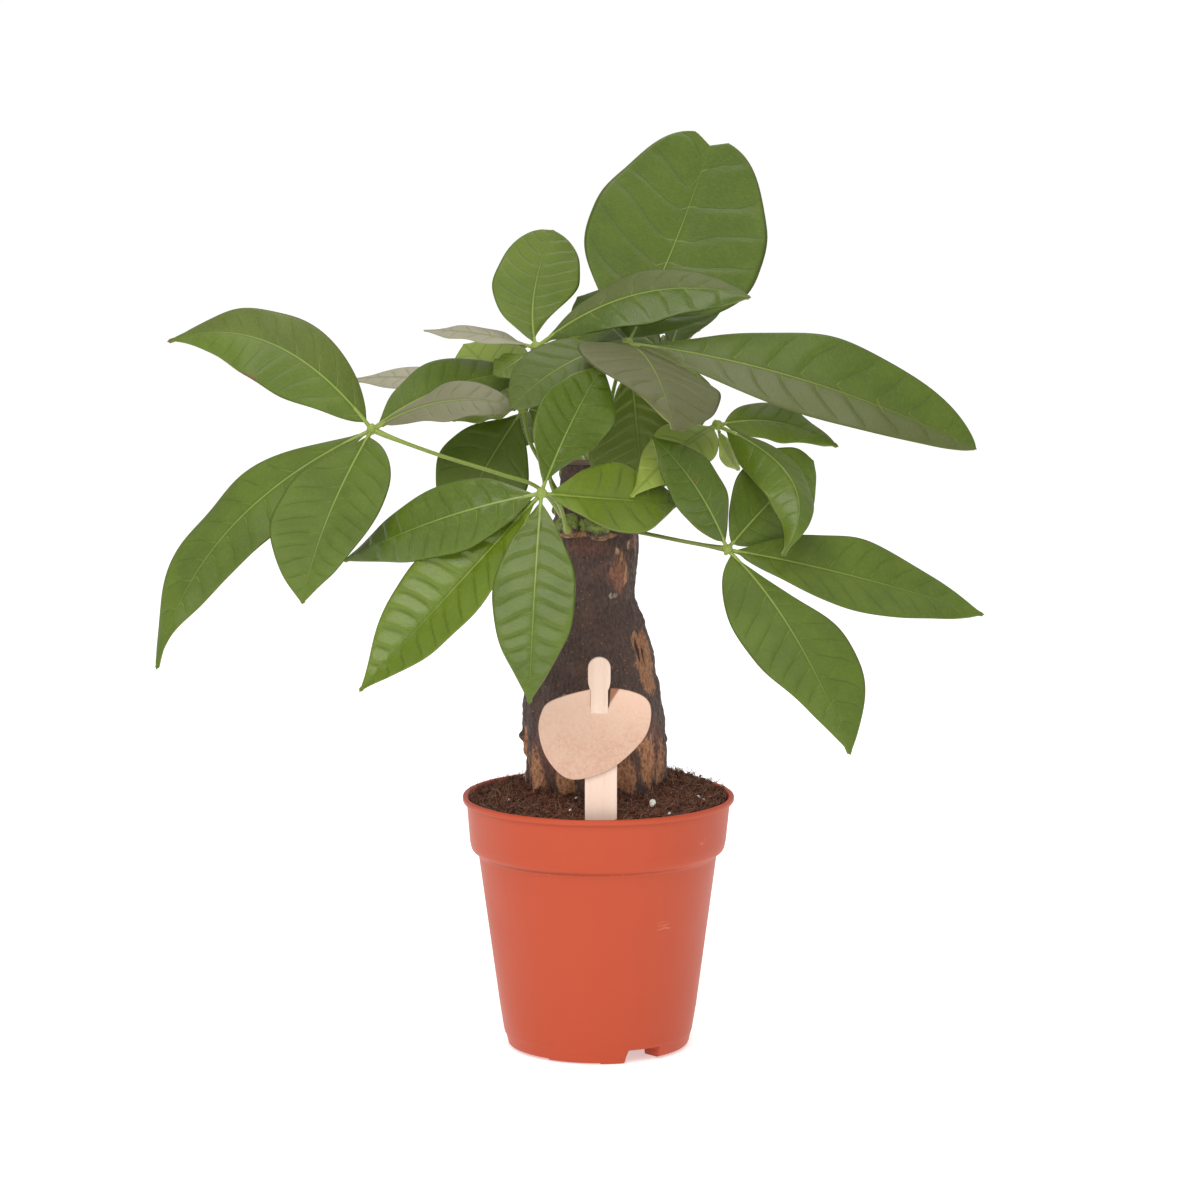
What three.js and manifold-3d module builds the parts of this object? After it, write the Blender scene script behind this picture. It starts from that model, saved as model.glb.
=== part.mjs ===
// A potted money tree: a stout cut-back trunk that has sprouted palmate fronds, standing in a plastic nursery
// pot filled with potting soil, with a wooden label stick that carries a blank card tag.
// Millimetres, +Z up. The origin is the middle of the pot's underside, and +Y points away from the front.
import * as THREE from 'three';
import { mergeVertices } from 'three/addons/utils/BufferGeometryUtils.js';
import Module from 'manifold-3d';

const wasm = await Module();
wasm.setup();

// ---------------------------------------------------------------- driving dimensions
const clearance = 0.3; // between pieces that touch

const pot = {
  rimRadius: 60,
  height: 113,
  lipHeight: 3.2,
  neckRadius: 57.6,
  bandRadius: 56.3,
  bandBottom: 90,
  bodyTop: 84,
  bodyRadius: 52.4,
  footRadius: 40,
  wall: 1.6,
  padRadius: 9, // a pad in the middle of the underside, level with the foot ring
  ringInner: 31,
  baseHeight: 6.5, // of the raised base between the pad and the foot ring
  floor: 1.6,
  notches: 3,
  notchWidth: 16.6,
  notchHeight: 6.2,
  notchTurn: 29.6, // how far the first notch stands to the right of the front
  segments: 40,
};

const soil = {
  bottom: pot.baseHeight + pot.floor + clearance,
  edge: 108,
  crown: 118.5,
  crownRadius: 30,
  lump: 1.1,
};

// Trunk stations: height, radius, and how far the middle lies to the right of the pot's axis.
const trunkStations = [
  [98, 28.5, -1],
  [112, 30, -1],
  [122, 30, -1],
  [135, 30.8, -2],
  [147, 30.8, -2.6],
  [158, 30, -2.8],
  [168, 28, -2.5],
  [178, 26, -2.2],
  [187, 23.6, -2.2],
  [195, 20.6, -2.4],
  [202, 18.6, -2.2],
  [210, 18.6, -1.6],
  [220, 19, -1.2],
  [229, 19.2, -1.2],
  [235, 18.2, -1.4],
  [239, 15.5, -3],
  [242, 11.5, -6],
  [250, 10, -6.6],
  [261, 9.6, -6.8],
];
const trunkSides = 28;
const fullRelief = 18; // radius from which the bark's relief is at its full depth
const roots = {
  lobes: 7,
  turn: 0.6,
  depth: 1.5,
  fade: 24, // height over which the root ridges die out
  soilLine: 118,
};

const stick = {
  centre: 1.5,
  neckCentre: 0.6,
  front: -51.7,
  thickness: 2,
  width: 14.5,
  neckWidth: 7.1,
  headWidth: 10,
  bottom: 92,
  shoulder: 150,
  neckTop: 169,
  top: 183.5,
};

const tag = {
  thickness: 1.5,
  slotWidth: 8.4,
  slotBottom: 161,
  // pebble outline, as x and z, going round from the left of the top
  outline: [
    [-20, 164],
    [-4, 168.6],
    [9, 169.3],
    [20, 166],
    [23, 159],
    [20, 148],
    [8, 136],
    [-4, 130.6],
    [-14, 130.6],
    [-22, 139],
    [-25.5, 150],
    [-24.6, 158.5],
  ],
};

const blade = {
  thickness: 0.7,
  rib: 1, // the midrib's extra thickness under the blade, near the stalk
  stalk: 3.5,
  stalkRadius: 0.9,
  tipHalf: 0.45, // half the width that is left at the very tip
  across: [-1, -0.55, 0, 0.55, 1], // shares of the half width, from the left margin to the right
  rows: 7,
  rowEasing: 0.22, // how much closer the rows stand near the tip
  wavePhase: 0.23,
  sideLag: 1.9, // how far, in radians, the right margin's waves run ahead of the left's
  notchFrom: 0.75, // where along the blade a notched tip begins to be drawn out
};

const petiole = {
  radius: 1.1,
  swelling: 0.9,
  footReach: 0.12, // shares of its length that the swellings take
  kneeReach: 0.1,
  sides: 6,
  steps: 8,
};
const hubRadius = 2.9;

const colours = {
  pot: '#cf5f40',
  soil: '#35201a',
  trunk: '#4c3833',
  leaf: '#5a8a2b',
  stick: '#ecc9a6',
  tag: '#cda380',
};

// ---------------------------------------------------------------- solids
const vector = (p) => new THREE.Vector3(...p);

function toSolid(geometry) {
  const bare = geometry.clone();
  bare.deleteAttribute('normal');
  bare.deleteAttribute('uv');
  const merged = mergeVertices(bare, 1e-4);
  return new wasm.Manifold(new wasm.Mesh({
    numProp: 3,
    vertProperties: new Float32Array(merged.attributes.position.array),
    triVerts: new Uint32Array(merged.index.array),
  }));
}

function toMesh(solid, name, colour, roughness) {
  const result = solid.getMesh();
  const geometry = new THREE.BufferGeometry();
  geometry.setAttribute('position', new THREE.BufferAttribute(new Float32Array(result.vertProperties), 3));
  geometry.setIndex(new THREE.BufferAttribute(new Uint32Array(result.triVerts), 1));
  geometry.computeVertexNormals();
  const material = new THREE.MeshStandardMaterial({ color: colour, roughness, metalness: 0 });
  const mesh = new THREE.Mesh(geometry, material);
  mesh.name = name;
  return mesh;
}

function indexedGeometry(points, index) {
  const geometry = new THREE.BufferGeometry();
  geometry.setAttribute('position', new THREE.Float32BufferAttribute(points.flatMap((p) => p.toArray()), 3));
  geometry.setIndex(index);
  return geometry;
}

// Joins rings of equally many points, each going round the same way, and closes both ends.
function ringSolid(rings) {
  const count = rings[0].length;
  const points = rings.flat();
  const index = [];
  for (let i = 0; i < rings.length - 1; i += 1) {
    for (let j = 0; j < count; j += 1) {
      const a = i * count + j;
      const b = i * count + ((j + 1) % count);
      index.push(a, b, b + count, a, b + count, a + count);
    }
  }
  const last = points.length - count;
  for (let j = 1; j < count - 1; j += 1) {
    index.push(0, j + 1, j, last, last + j, last + j + 1);
  }
  return toSolid(indexedGeometry(points, index));
}

function turned(profile) {
  const outline = profile.map(([radius, height]) => new THREE.Vector2(radius, height));
  return new THREE.LatheGeometry(outline, pot.segments).rotateX(Math.PI / 2);
}

// ---------------------------------------------------------------- pot
function potSolid() {
  const p = pot;
  const inner = p.wall;
  const floorTop = p.baseHeight + p.floor;
  const profile = [
    [0, 0],
    [p.padRadius, 0],
    [p.padRadius + 1, p.baseHeight],
    [p.ringInner - 0.5, p.baseHeight],
    [p.ringInner, 0],
    [p.footRadius - 1, 0],
    [p.footRadius, 1.2],
    [p.footRadius + 0.9, 6],
    [p.bodyRadius, p.bodyTop],
    [p.bandRadius - 0.8, p.bandBottom - 3.5],
    [p.bandRadius, p.bandBottom],
    [p.neckRadius, p.height - p.lipHeight],
    [p.rimRadius, p.height - p.lipHeight + 1],
    [p.rimRadius, p.height - 0.8],
    [p.rimRadius - 0.8, p.height],
    [p.rimRadius - 2.2, p.height],
    [p.neckRadius - inner, p.height - p.lipHeight],
    [p.bandRadius - inner, p.bandBottom],
    [p.bodyRadius - inner, p.bodyTop],
    [p.footRadius + 1.8 - inner, floorTop],
    [0, floorTop],
  ];
  const bottom = -1;
  const notch = new THREE.BoxGeometry(p.notchWidth, 14, p.notchHeight - bottom);
  let solid = toSolid(turned(profile));
  for (let i = 0; i < p.notches; i += 1) {
    const angle = p.notchTurn + (360 * i) / p.notches;
    const cutter = notch.clone();
    cutter.translate(0, -(p.ringInner + p.footRadius) / 2, (p.notchHeight + bottom) / 2);
    cutter.rotateZ(THREE.MathUtils.degToRad(angle));
    solid = solid.subtract(toSolid(cutter));
  }
  return solid;
}

// ---------------------------------------------------------------- trunk
// Bark ridges: root lobes that fade out above the soil, over slow bulges that turn with height.
function barkRelief(angle, z) {
  const fade = Math.exp(-Math.max(z - roots.soilLine, 0) / roots.fade);
  const ridges = roots.depth * fade * Math.sin(roots.lobes * angle + roots.turn);
  const bulges = 0.5 * Math.sin(3 * angle + z / 19) + 0.35 * Math.sin(5 * angle - z / 11);
  return ridges + bulges;
}

function trunkRings(grow) {
  return trunkStations.map(([z, radius, centre], i) => {
    const end = i === 0 || i === trunkStations.length - 1;
    const lift = end ? Math.sign(i - 1) * grow : 0;
    const ring = [];
    for (let j = 0; j < trunkSides; j += 1) {
      const angle = (2 * Math.PI * j) / trunkSides;
      const r = radius + grow + barkRelief(angle, z) * Math.min(1, radius / fullRelief);
      ring.push(new THREE.Vector3(centre + r * Math.cos(angle), r * Math.sin(angle), z + lift));
    }
    return ring;
  });
}

// Swollen eyes near the top of the trunk that the fronds have sprouted from.
const eyes = [
  { at: [-13, -15, 235], radius: 5.5 },
  { at: [0, -19, 234], radius: 5 },
  { at: [-15, 7, 240], radius: 5 },
  { at: [5, 10, 240], radius: 5.5 },
  { at: [1, 1, 242], radius: 6 },
];

function trunkSolid(grow) {
  let solid = ringSolid(trunkRings(grow));
  for (const { at, radius } of eyes) {
    const eye = new THREE.IcosahedronGeometry(radius + grow, 1);
    eye.translate(...at);
    solid = solid.add(toSolid(eye));
  }
  return solid;
}

// ---------------------------------------------------------------- soil
function soilLumps(x, y) {
  const waves = Math.sin(x / 4.1 + 1.3 * Math.sin(y / 6.3)) + Math.sin(y / 3.7 + 1.1 * Math.sin(x / 5.2));
  return (soil.lump / 2) * waves;
}

function soilSolid() {
  const gap = pot.wall + clearance;
  const rings = [57, 50, 44, 38, 32, 25];
  const top = rings.map((radius) => {
    const slope = (57 - radius) / (57 - soil.crownRadius);
    return [radius - gap - 0.6, soil.edge + (soil.crown - soil.edge) * Math.min(slope, 1)];
  });
  const profile = [
    [0, soil.bottom],
    [pot.footRadius + 1.8 - gap, soil.bottom],
    [pot.bodyRadius - gap, pot.bodyTop],
    [pot.bandRadius - gap - 0.6, pot.bandBottom],
    ...top,
    [0, soil.crown],
  ];
  const geometry = turned(profile);
  const place = geometry.attributes.position;
  for (let i = 0; i < place.count; i += 1) {
    if (place.getZ(i) > soil.edge + 0.5) {
      place.setZ(i, place.getZ(i) + soilLumps(place.getX(i), place.getY(i)));
    }
  }
  const slot = new THREE.BoxGeometry(
    stick.width + 2 * clearance,
    stick.thickness + 2 * clearance,
    200,
  );
  slot.translate(stick.centre, stick.front + stick.thickness / 2, stick.bottom - clearance + 100);
  return toSolid(geometry).subtract(trunkSolid(clearance)).subtract(toSolid(slot));
}

// ---------------------------------------------------------------- label stick and tag
// A shape in x and z, made thick along y: front is its nearest face.
function upright(shape, front, thickness, curveSegments) {
  const geometry = new THREE.ExtrudeGeometry(shape, { depth: thickness, bevelEnabled: false, curveSegments });
  geometry.rotateX(Math.PI / 2);
  geometry.translate(0, front + thickness, 0);
  return toSolid(geometry);
}

function stickSolid() {
  const half = stick.width / 2;
  const neck = stick.neckWidth / 2;
  const head = stick.headWidth / 2;
  const middle = stick.centre;
  const x = stick.neckCentre;
  const { shoulder } = stick;
  const shape = new THREE.Shape();
  shape.moveTo(middle - half, stick.bottom);
  shape.lineTo(middle + half, stick.bottom);
  shape.lineTo(middle + half, shoulder);
  shape.bezierCurveTo(middle + half, shoulder + 5, x + neck, shoulder + 3, x + neck, shoulder + 8);
  shape.lineTo(x + neck, stick.neckTop);
  shape.quadraticCurveTo(x + head, stick.neckTop + 2, x + head, stick.neckTop + 5);
  shape.lineTo(x + head, stick.top - head);
  shape.absarc(x, stick.top - head, head, 0, Math.PI, false);
  shape.lineTo(x - head, stick.neckTop + 5);
  shape.quadraticCurveTo(x - head, stick.neckTop + 2, x - neck, stick.neckTop);
  shape.lineTo(x - neck, shoulder + 8);
  shape.bezierCurveTo(x - neck, shoulder + 3, middle - half, shoulder + 5, middle - half, shoulder);
  return upright(shape, stick.front, stick.thickness, 6);
}

function tagSolid() {
  const edge = new THREE.CatmullRomCurve3(tag.outline.map(([x, z]) => new THREE.Vector3(x, z, 0)), true);
  const shape = new THREE.Shape(edge.getPoints(36).slice(0, 36).map((p) => new THREE.Vector2(p.x, p.y)));
  const front = stick.front - clearance - tag.thickness;
  const slotHeight = 20;
  const slot = new THREE.BoxGeometry(tag.slotWidth, 4 * tag.thickness, slotHeight);
  slot.translate(stick.neckCentre, front + tag.thickness / 2, tag.slotBottom + slotHeight / 2);
  return upright(shape, front, tag.thickness, 1).subtract(toSolid(slot));
}

// ---------------------------------------------------------------- fronds
// A leaf's measure for one side of its midrib: a pair holds the left half's and the right half's.
const ofSide = (measure, side) => (Array.isArray(measure) ? measure[side < 0 ? 0 : 1] : measure);

// How far one half of a leaflet reaches from its midrib, as a share of its greatest reach, from 0 at the stalk
// to 1 at the tip. It is a sine arch whose crest is moved to widest, and whose two ends are drawn out or made
// blunt by their powers.
function outline(t, side, leaf) {
  const widest = ofSide(leaf.widest, side);
  const crest = Math.log(0.5) / Math.log(widest);
  const arch = Math.sin(Math.PI * Math.min(Math.max(t, 0), 1) ** crest);
  const power = ofSide(t < widest ? leaf.base : leaf.point, side);
  return Math.max(arch, 0) ** power;
}

// The midrib is a bow from the hub through mid to the tip. The upper side looks to the front when turn is 0,
// and turn is the angle that the blade is rolled about its midrib. Each half is raised by fold into a V, and
// its margin bends down by curl and waves up and down.
function leafletSolid(hub, leaf) {
  const start = vector(hub);
  const end = vector(leaf.tip);
  const bow = vector(leaf.mid).multiplyScalar(2).sub(start.clone().add(end).multiplyScalar(0.5));
  const midrib = new THREE.QuadraticBezierCurve3(start, bow, end);
  const along = end.clone().sub(start).normalize();
  const front = new THREE.Vector3(0, -1, 0);
  const facing = front.clone().addScaledVector(along, -front.dot(along)).normalize();
  const roll = THREE.MathUtils.degToRad(leaf.turn);
  facing.applyAxisAngle(along, roll);
  const fold = THREE.MathUtils.degToRad(leaf.fold);
  const length = midrib.getLength();
  const stalk = blade.stalk / length;
  const rows = leaf.rows ?? blade.rows;
  const stations = [0, stalk];
  for (let i = 1; i <= rows; i += 1) {
    const s = i / rows;
    stations.push(stalk + (1 - stalk) * s * (1 + blade.rowEasing * (1 - s)));
  }
  const above = [];
  const below = [];
  for (const t of stations) {
    const s = Math.max((t - stalk) / (1 - stalk), 0);
    const tangent = midrib.getTangent(t);
    const up = facing.clone().addScaledVector(tangent, -facing.dot(tangent)).normalize();
    up.applyAxisAngle(tangent, THREE.MathUtils.degToRad(leaf.twist * (s - 0.5)));
    const right = tangent.clone().cross(up);
    for (const side of blade.across) {
      const least = s === 0 ? blade.stalkRadius : blade.tipHalf;
      const half = Math.max((leaf.width / 2) * outline(s, side, leaf), least);
      const grown = Math.min(1, half / 3);
      const share = Math.abs(side);
      const phase = 2 * Math.PI * (leaf.waves * s + blade.wavePhase) + blade.sideLag * Math.sign(side);
      const bend = leaf.wave * Math.sin(phase) - leaf.curl;
      const rise = half * share * Math.sin(fold) + grown * share ** 2 * bend;
      const point = midrib.getPoint(t);
      point.addScaledVector(right, Math.sign(side) * half * share * Math.cos(fold));
      point.addScaledVector(up, rise);
      point.addScaledVector(tangent, leaf.notch * share * THREE.MathUtils.smoothstep(s, blade.notchFrom, 1));
      const thick = s === 0 ? blade.stalkRadius : blade.thickness / 2;
      const rib = side === 0 && s > 0 ? blade.rib * (1 - s) : 0;
      above.push(point.clone().addScaledVector(up, thick));
      below.push(point.clone().addScaledVector(up, -thick - rib));
    }
  }
  return toSolid(bladeGeometry(above, below, blade.across.length));
}

// Closes two alike grids of points, one above the other, with both cut into the same triangles.
function bladeGeometry(above, below, across) {
  const index = [];
  const under = above.length;
  const rows = above.length / across;
  for (let i = 0; i < rows - 1; i += 1) {
    for (let j = 0; j < across - 1; j += 1) {
      const a = i * across + j;
      const c = a + across;
      index.push(a, a + 1, c + 1, a, c + 1, c);
      index.push(under + a, under + c + 1, under + a + 1, under + a, under + c, under + c + 1);
    }
    const left = i * across;
    const right = left + across - 1;
    index.push(left, left + across, under + left + across, left, under + left + across, under + left);
    index.push(right, under + right + across, right + across, right, under + right, under + right + across);
  }
  for (let j = 0; j < across - 1; j += 1) {
    const tip = (rows - 1) * across + j;
    index.push(j, under + j, under + j + 1, j, under + j + 1, j + 1);
    index.push(tip, tip + 1, under + tip + 1, tip, under + tip + 1, under + tip);
  }
  return indexedGeometry([...above, ...below], index);
}

// A stalk along a route, swollen where it leaves the trunk and where it carries the leaflets.
function petioleSolid(route) {
  const path = new THREE.CatmullRomCurve3(route.map(vector));
  const frames = path.computeFrenetFrames(petiole.steps, false);
  const rings = [];
  for (let i = 0; i <= petiole.steps; i += 1) {
    const t = i / petiole.steps;
    const foot = Math.exp(-((t / petiole.footReach) ** 2));
    const knee = Math.exp(-(((1 - t) / petiole.kneeReach) ** 2));
    const radius = petiole.radius + petiole.swelling * (foot + 0.6 * knee);
    const ring = [];
    for (let j = 0; j < petiole.sides; j += 1) {
      const angle = (2 * Math.PI * j) / petiole.sides;
      const point = path.getPointAt(t);
      point.addScaledVector(frames.normals[i], radius * Math.cos(angle));
      point.addScaledVector(frames.binormals[i], radius * Math.sin(angle));
      ring.push(point);
    }
    rings.push(ring);
  }
  return ringSolid(rings);
}

const plainLeaf = {
  width: 36,
  turn: 0,
  fold: 5,
  twist: 0,
  widest: 0.5,
  base: 1,
  point: 0.95,
  curl: 1,
  wave: 0.6,
  waves: 2.5,
  notch: 0,
};

// Each frond: its petiole's route from inside the trunk to the hub, and its leaflets.
const fronds = {
  frond_left: {
    route: [
      [-11, -13, 233],
      [-25, -22, 252],
      [-42, -25, 259],
      [-68, -24, 267],
      [-88, -22, 274],
      [-98, -20, 278],
    ],
    leaves: [
      {
        mid: [-141, -18, 315], tip: [-187, -8, 315], width: 37, turn: 27,
        fold: -13, widest: 0.42, base: 0.85, point: 1.1,
      },
      {
        mid: [-160, -28, 235], tip: [-191, -40, 176], width: 37, turn: 42,
        fold: -2, widest: 0.45, point: [1.6, 1.05],
      },
      {
        mid: [-116, -52, 243], tip: [-126, -68, 209], width: 46, turn: 18,
        fold: 15, widest: [0.36, 0.52], base: 0.85,
      },
      { mid: [-67, -2, 294], tip: [-31, 14, 299], width: 31, turn: -43 },
      { mid: [-66, -28, 291], tip: [-36, -26, 288], width: 26, turn: -57, widest: [0.6, 0.5], point: 0.65 },
    ],
  },
  frond_front: {
    route: [[-13, -15, 233], [-14, -26, 237], [-17, -45, 249], [-24, -72, 257]],
    leaves: [
      { mid: [-67, -71, 246], tip: [-110, -38, 223], width: 37, turn: 37, fold: -3, widest: 0.45 },
      {
        mid: [-66, -66, 210], tip: [-102, -62, 170], width: 40, turn: 31,
        fold: 20, widest: 0.46, point: 1.05,
      },
      {
        mid: [-27, -86, 213], tip: [-29, -92, 170], width: 37, turn: 18,
        fold: 6, widest: 0.47, point: 1.05,
      },
      { mid: [-12, -58, 284], tip: [2, -50, 309], width: 34, turn: 15, fold: 8 },
      { mid: [8, -42, 250], tip: [37, -16, 245], width: 34, turn: -40, fold: 9 },
    ],
  },
  frond_right: {
    route: [[0, -16, 234], [1, -22, 236], [18, -28, 234], [36, -33, 231], [56, -38, 228]],
    leaves: [
      { mid: [110, -28, 215], tip: [169, -10, 195], width: 39, turn: -46, fold: 4 },
      {
        mid: [84, -58, 194], tip: [108, -70, 144], width: 44, turn: -24,
        fold: -3, widest: [0.66, 0.4], base: [1, 0.8],
      },
      {
        mid: [41.5, -46, 257], tip: [23, -48, 278], width: 25, turn: 27,
        fold: 4, widest: 0.45, base: 0.75,
      },
      { mid: [75, -22, 247], tip: [94, -4, 262], width: 38, turn: 10, fold: 0, base: 0.75, point: 0.6 },
    ],
  },
  frond_inner_right: {
    route: [[3, 8, 240], [20, 4, 254], [38, -6, 270], [52, -12, 279]],
    leaves: [
      { mid: [79, -5, 279], tip: [105, 0, 268], width: 22, turn: -48, widest: 0.42, base: 0.8 },
      {
        mid: [80, -42, 257], tip: [76, -52, 225], width: 28, turn: -41,
        fold: -20, widest: 0.46, base: 0.9,
      },
      { mid: [34, -28, 269], tip: [14, -42, 251], width: 28, turn: 35, widest: 0.4, point: 1.1 },
      { mid: [57, -4, 266], tip: [62, 6, 257], width: 9, turn: -20, rows: 5 },
    ],
  },
  frond_upper_left: {
    route: [[-14, 6, 240], [-20, 3, 250], [-22, 4, 262], [-23, 5, 280], [-27, -2, 312]],
    leaves: [
      {
        mid: [-28, 18, 334], tip: [-20, 44, 359], width: 38, turn: 0,
        widest: [0.45, 0.6], base: 0.8, point: 0.6,
      },
      { mid: [18, -10, 336], tip: [66, -16, 335], width: 33, turn: -51, fold: -8, point: 0.85 },
      { mid: [-52, 4, 317], tip: [-76, 10, 318], width: 20, turn: 76 },
      { mid: [-11, 6, 308], tip: [4, 13, 305], width: 20, turn: -40, rows: 5 },
      { mid: [-36, -9, 306], tip: [-45, -13, 301], width: 22, turn: 60, point: 0.6, rows: 5 },
    ],
  },
  frond_top: {
    route: [[1, 1, 241], [3, -2, 262], [6, -2, 278], [10, -3, 295], [13, -5, 314]],
    leaves: [
      {
        mid: [32.5, 32, 351],
        tip: [50, 70, 395],
        width: 80,
        turn: 0,
        fold: 4,
        widest: [0.48, 0.54],
        base: 0.75,
        point: [0.55, 0.42],
        notch: 6,
        rows: 9,
      },
      {
        mid: [90, -8, 298], tip: [166, 6, 266], width: 47, turn: -42,
        fold: 18, widest: [0.58, 0.5], point: [0.65, 0.9],
      },
      {
        mid: [24, -50, 307], tip: [32, -82, 285], width: 62, turn: -50,
        fold: -4, widest: [0.5, 0.36], base: [1.1, 0.8], point: [0.6, 1.5],
      },
      { mid: [1, 29, 322], tip: [-9, 47, 329], width: 28, turn: 14, point: 0.65 },
      { mid: [-14, -28, 307], tip: [-37, -42, 290], width: 38, turn: 54, fold: 4, point: 0.6 },
      { mid: [17, -12, 278], tip: [20, -9, 246], width: 45, turn: 0, widest: 0.65 },
    ],
  },
  frond_back_left: {
    route: [[-14, 7, 240], [-22, 12, 254], [-30, 18, 268], [-33, 22, 282]],
    leaves: [
      { mid: [-50, 16, 256], tip: [-65, 10, 228], width: 42, turn: 10 },
      { mid: [-48, 16, 283], tip: [-64, 12, 278], width: 18, turn: 60, rows: 5 },
      { mid: [-21, 19, 279], tip: [-7, 15, 269], width: 28, turn: -30, rows: 5 },
      { mid: [-71, 34, 293], tip: [-113, 46, 292], width: 22, turn: 65, rows: 6 },
      { mid: [-47, 40, 296], tip: [-60, 56, 307], width: 38, turn: 20, point: 0.7, rows: 6 },
    ],
  },
  frond_back_right: {
    route: [[5, 11, 240], [14, 22, 262], [24, 38, 285], [31, 50, 303]],
    leaves: [
      { mid: [73, 75, 295], tip: [114, 82, 282], width: 30, turn: -60 },
      { mid: [42, 84, 329], tip: [49, 112, 349], width: 34, turn: 0 },
      { mid: [30, 98, 306], tip: [34, 132, 292], width: 34, turn: 0 },
      { mid: [11, 74, 314], tip: [-6, 92, 315], width: 28, turn: 40, rows: 6 },
      { mid: [39, 66, 283], tip: [42, 72, 264], width: 26, turn: 180, rows: 5 },
    ],
  },
  frond_back_low: {
    route: [[3, 10, 239], [0, 24, 248], [-6, 40, 260], [-9, 52, 268]],
    leaves: [
      { mid: [-5, 74, 248], tip: [1, 80, 231], width: 26, turn: 180, rows: 5 },
      { mid: [-35, 70, 267], tip: [-54, 78, 256], width: 26, turn: 60, rows: 6 },
      { mid: [11, 66, 256], tip: [23, 70, 245], width: 24, turn: -60, rows: 5 },
      { mid: [-14, 74, 282], tip: [-17, 92, 291], width: 24, turn: 0, rows: 5 },
      { mid: [-13, 92, 267], tip: [-15, 118, 256], width: 30, turn: 0, rows: 6 },
    ],
  },
};

function frondSolid({ route, leaves }) {
  const hub = route[route.length - 1];
  const knob = new THREE.IcosahedronGeometry(hubRadius, 0);
  knob.translate(...hub);
  let solid = toSolid(knob).add(petioleSolid(route));
  for (const leaf of leaves) {
    solid = solid.add(leafletSolid(hub, { ...plainLeaf, ...leaf }));
  }
  return solid.subtract(trunkSolid(clearance));
}

// ---------------------------------------------------------------- the plant
const plant = new THREE.Group();
plant.add(toMesh(potSolid(), 'pot', colours.pot, 0.45));
plant.add(toMesh(soilSolid(), 'soil', colours.soil, 1));
plant.add(toMesh(trunkSolid(0), 'trunk', colours.trunk, 0.9));
plant.add(toMesh(stickSolid(), 'label_stick', colours.stick, 0.7));
plant.add(toMesh(tagSolid(), 'label_tag', colours.tag, 0.85));
for (const [name, frond] of Object.entries(fronds)) {
  plant.add(toMesh(frondSolid(frond), name, colours.leaf, 0.5));
}

export default plant;
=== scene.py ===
import math

import bpy
import numpy as np
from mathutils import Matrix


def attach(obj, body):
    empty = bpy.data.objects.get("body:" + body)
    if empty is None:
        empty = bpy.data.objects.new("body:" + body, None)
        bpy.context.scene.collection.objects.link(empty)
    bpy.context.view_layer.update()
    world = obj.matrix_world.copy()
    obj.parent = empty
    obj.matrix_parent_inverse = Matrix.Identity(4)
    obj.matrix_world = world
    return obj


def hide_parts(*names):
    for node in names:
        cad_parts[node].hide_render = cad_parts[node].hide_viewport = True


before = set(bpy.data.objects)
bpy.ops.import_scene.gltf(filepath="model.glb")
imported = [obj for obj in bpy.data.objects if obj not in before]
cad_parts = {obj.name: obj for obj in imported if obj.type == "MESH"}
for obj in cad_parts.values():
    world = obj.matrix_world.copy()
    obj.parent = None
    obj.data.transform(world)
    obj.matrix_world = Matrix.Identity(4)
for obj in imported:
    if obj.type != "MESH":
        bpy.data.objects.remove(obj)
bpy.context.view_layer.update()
mm = 0.001  # sizes below are in millimetres, and meshes are in metres


def hexColour(code):
    # sRGB hex turned to linear: a twelfth or so near black, else ((share + 0.055) / 1.055) to the power 2.4
    share = np.array([int(code[i : i + 2], 16) / 255 for i in (1, 3, 5)])
    linear = np.where(share <= 0.04045, share / 12.92, ((share + 0.055) / 1.055) ** 2.4)
    return (*linear.tolist(), 1.0)


def addNode(tree, kind, inputs=None, **settings):
    # one node, its settings, and its inputs: each a plain value or another node's socket
    node = tree.nodes.new("ShaderNode" + kind)
    for name, value in settings.items():
        setattr(node, name, value)
    for name, value in (inputs or {}).items():
        if isinstance(value, bpy.types.NodeSocket):
            tree.links.new(value, node.inputs[name])
        else:
            node.inputs[name].default_value = value
    return node


def perMetre(*sizes):
    # a pattern's scale along each axis: one over the real size of its grains, given in millimetres
    scales = [1 / (size * mm) for size in sizes]
    return scales if len(scales) > 1 else scales[0]


def newMaterial(name):
    # a material with only a shader and an output, joined
    material = bpy.data.materials.new(name)
    material.use_nodes = True
    tree = material.node_tree
    tree.nodes.clear()
    shader = addNode(tree, "BsdfPrincipled")
    addNode(tree, "OutputMaterial", {"Surface": shader.outputs[0]})
    return material, tree, shader


def gridFaces(rows, columns, closed=False, start=0):
    # quads between neighbouring points of a grid whose points are numbered row by row
    i, j = np.meshgrid(np.arange(rows - 1), np.arange(columns if closed else columns - 1), indexing="ij")
    a = i * columns + j
    b = i * columns + (j + 1) % columns
    return start + np.stack([a, b, b + columns, a + columns], axis=-1).reshape(-1, 4)


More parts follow.
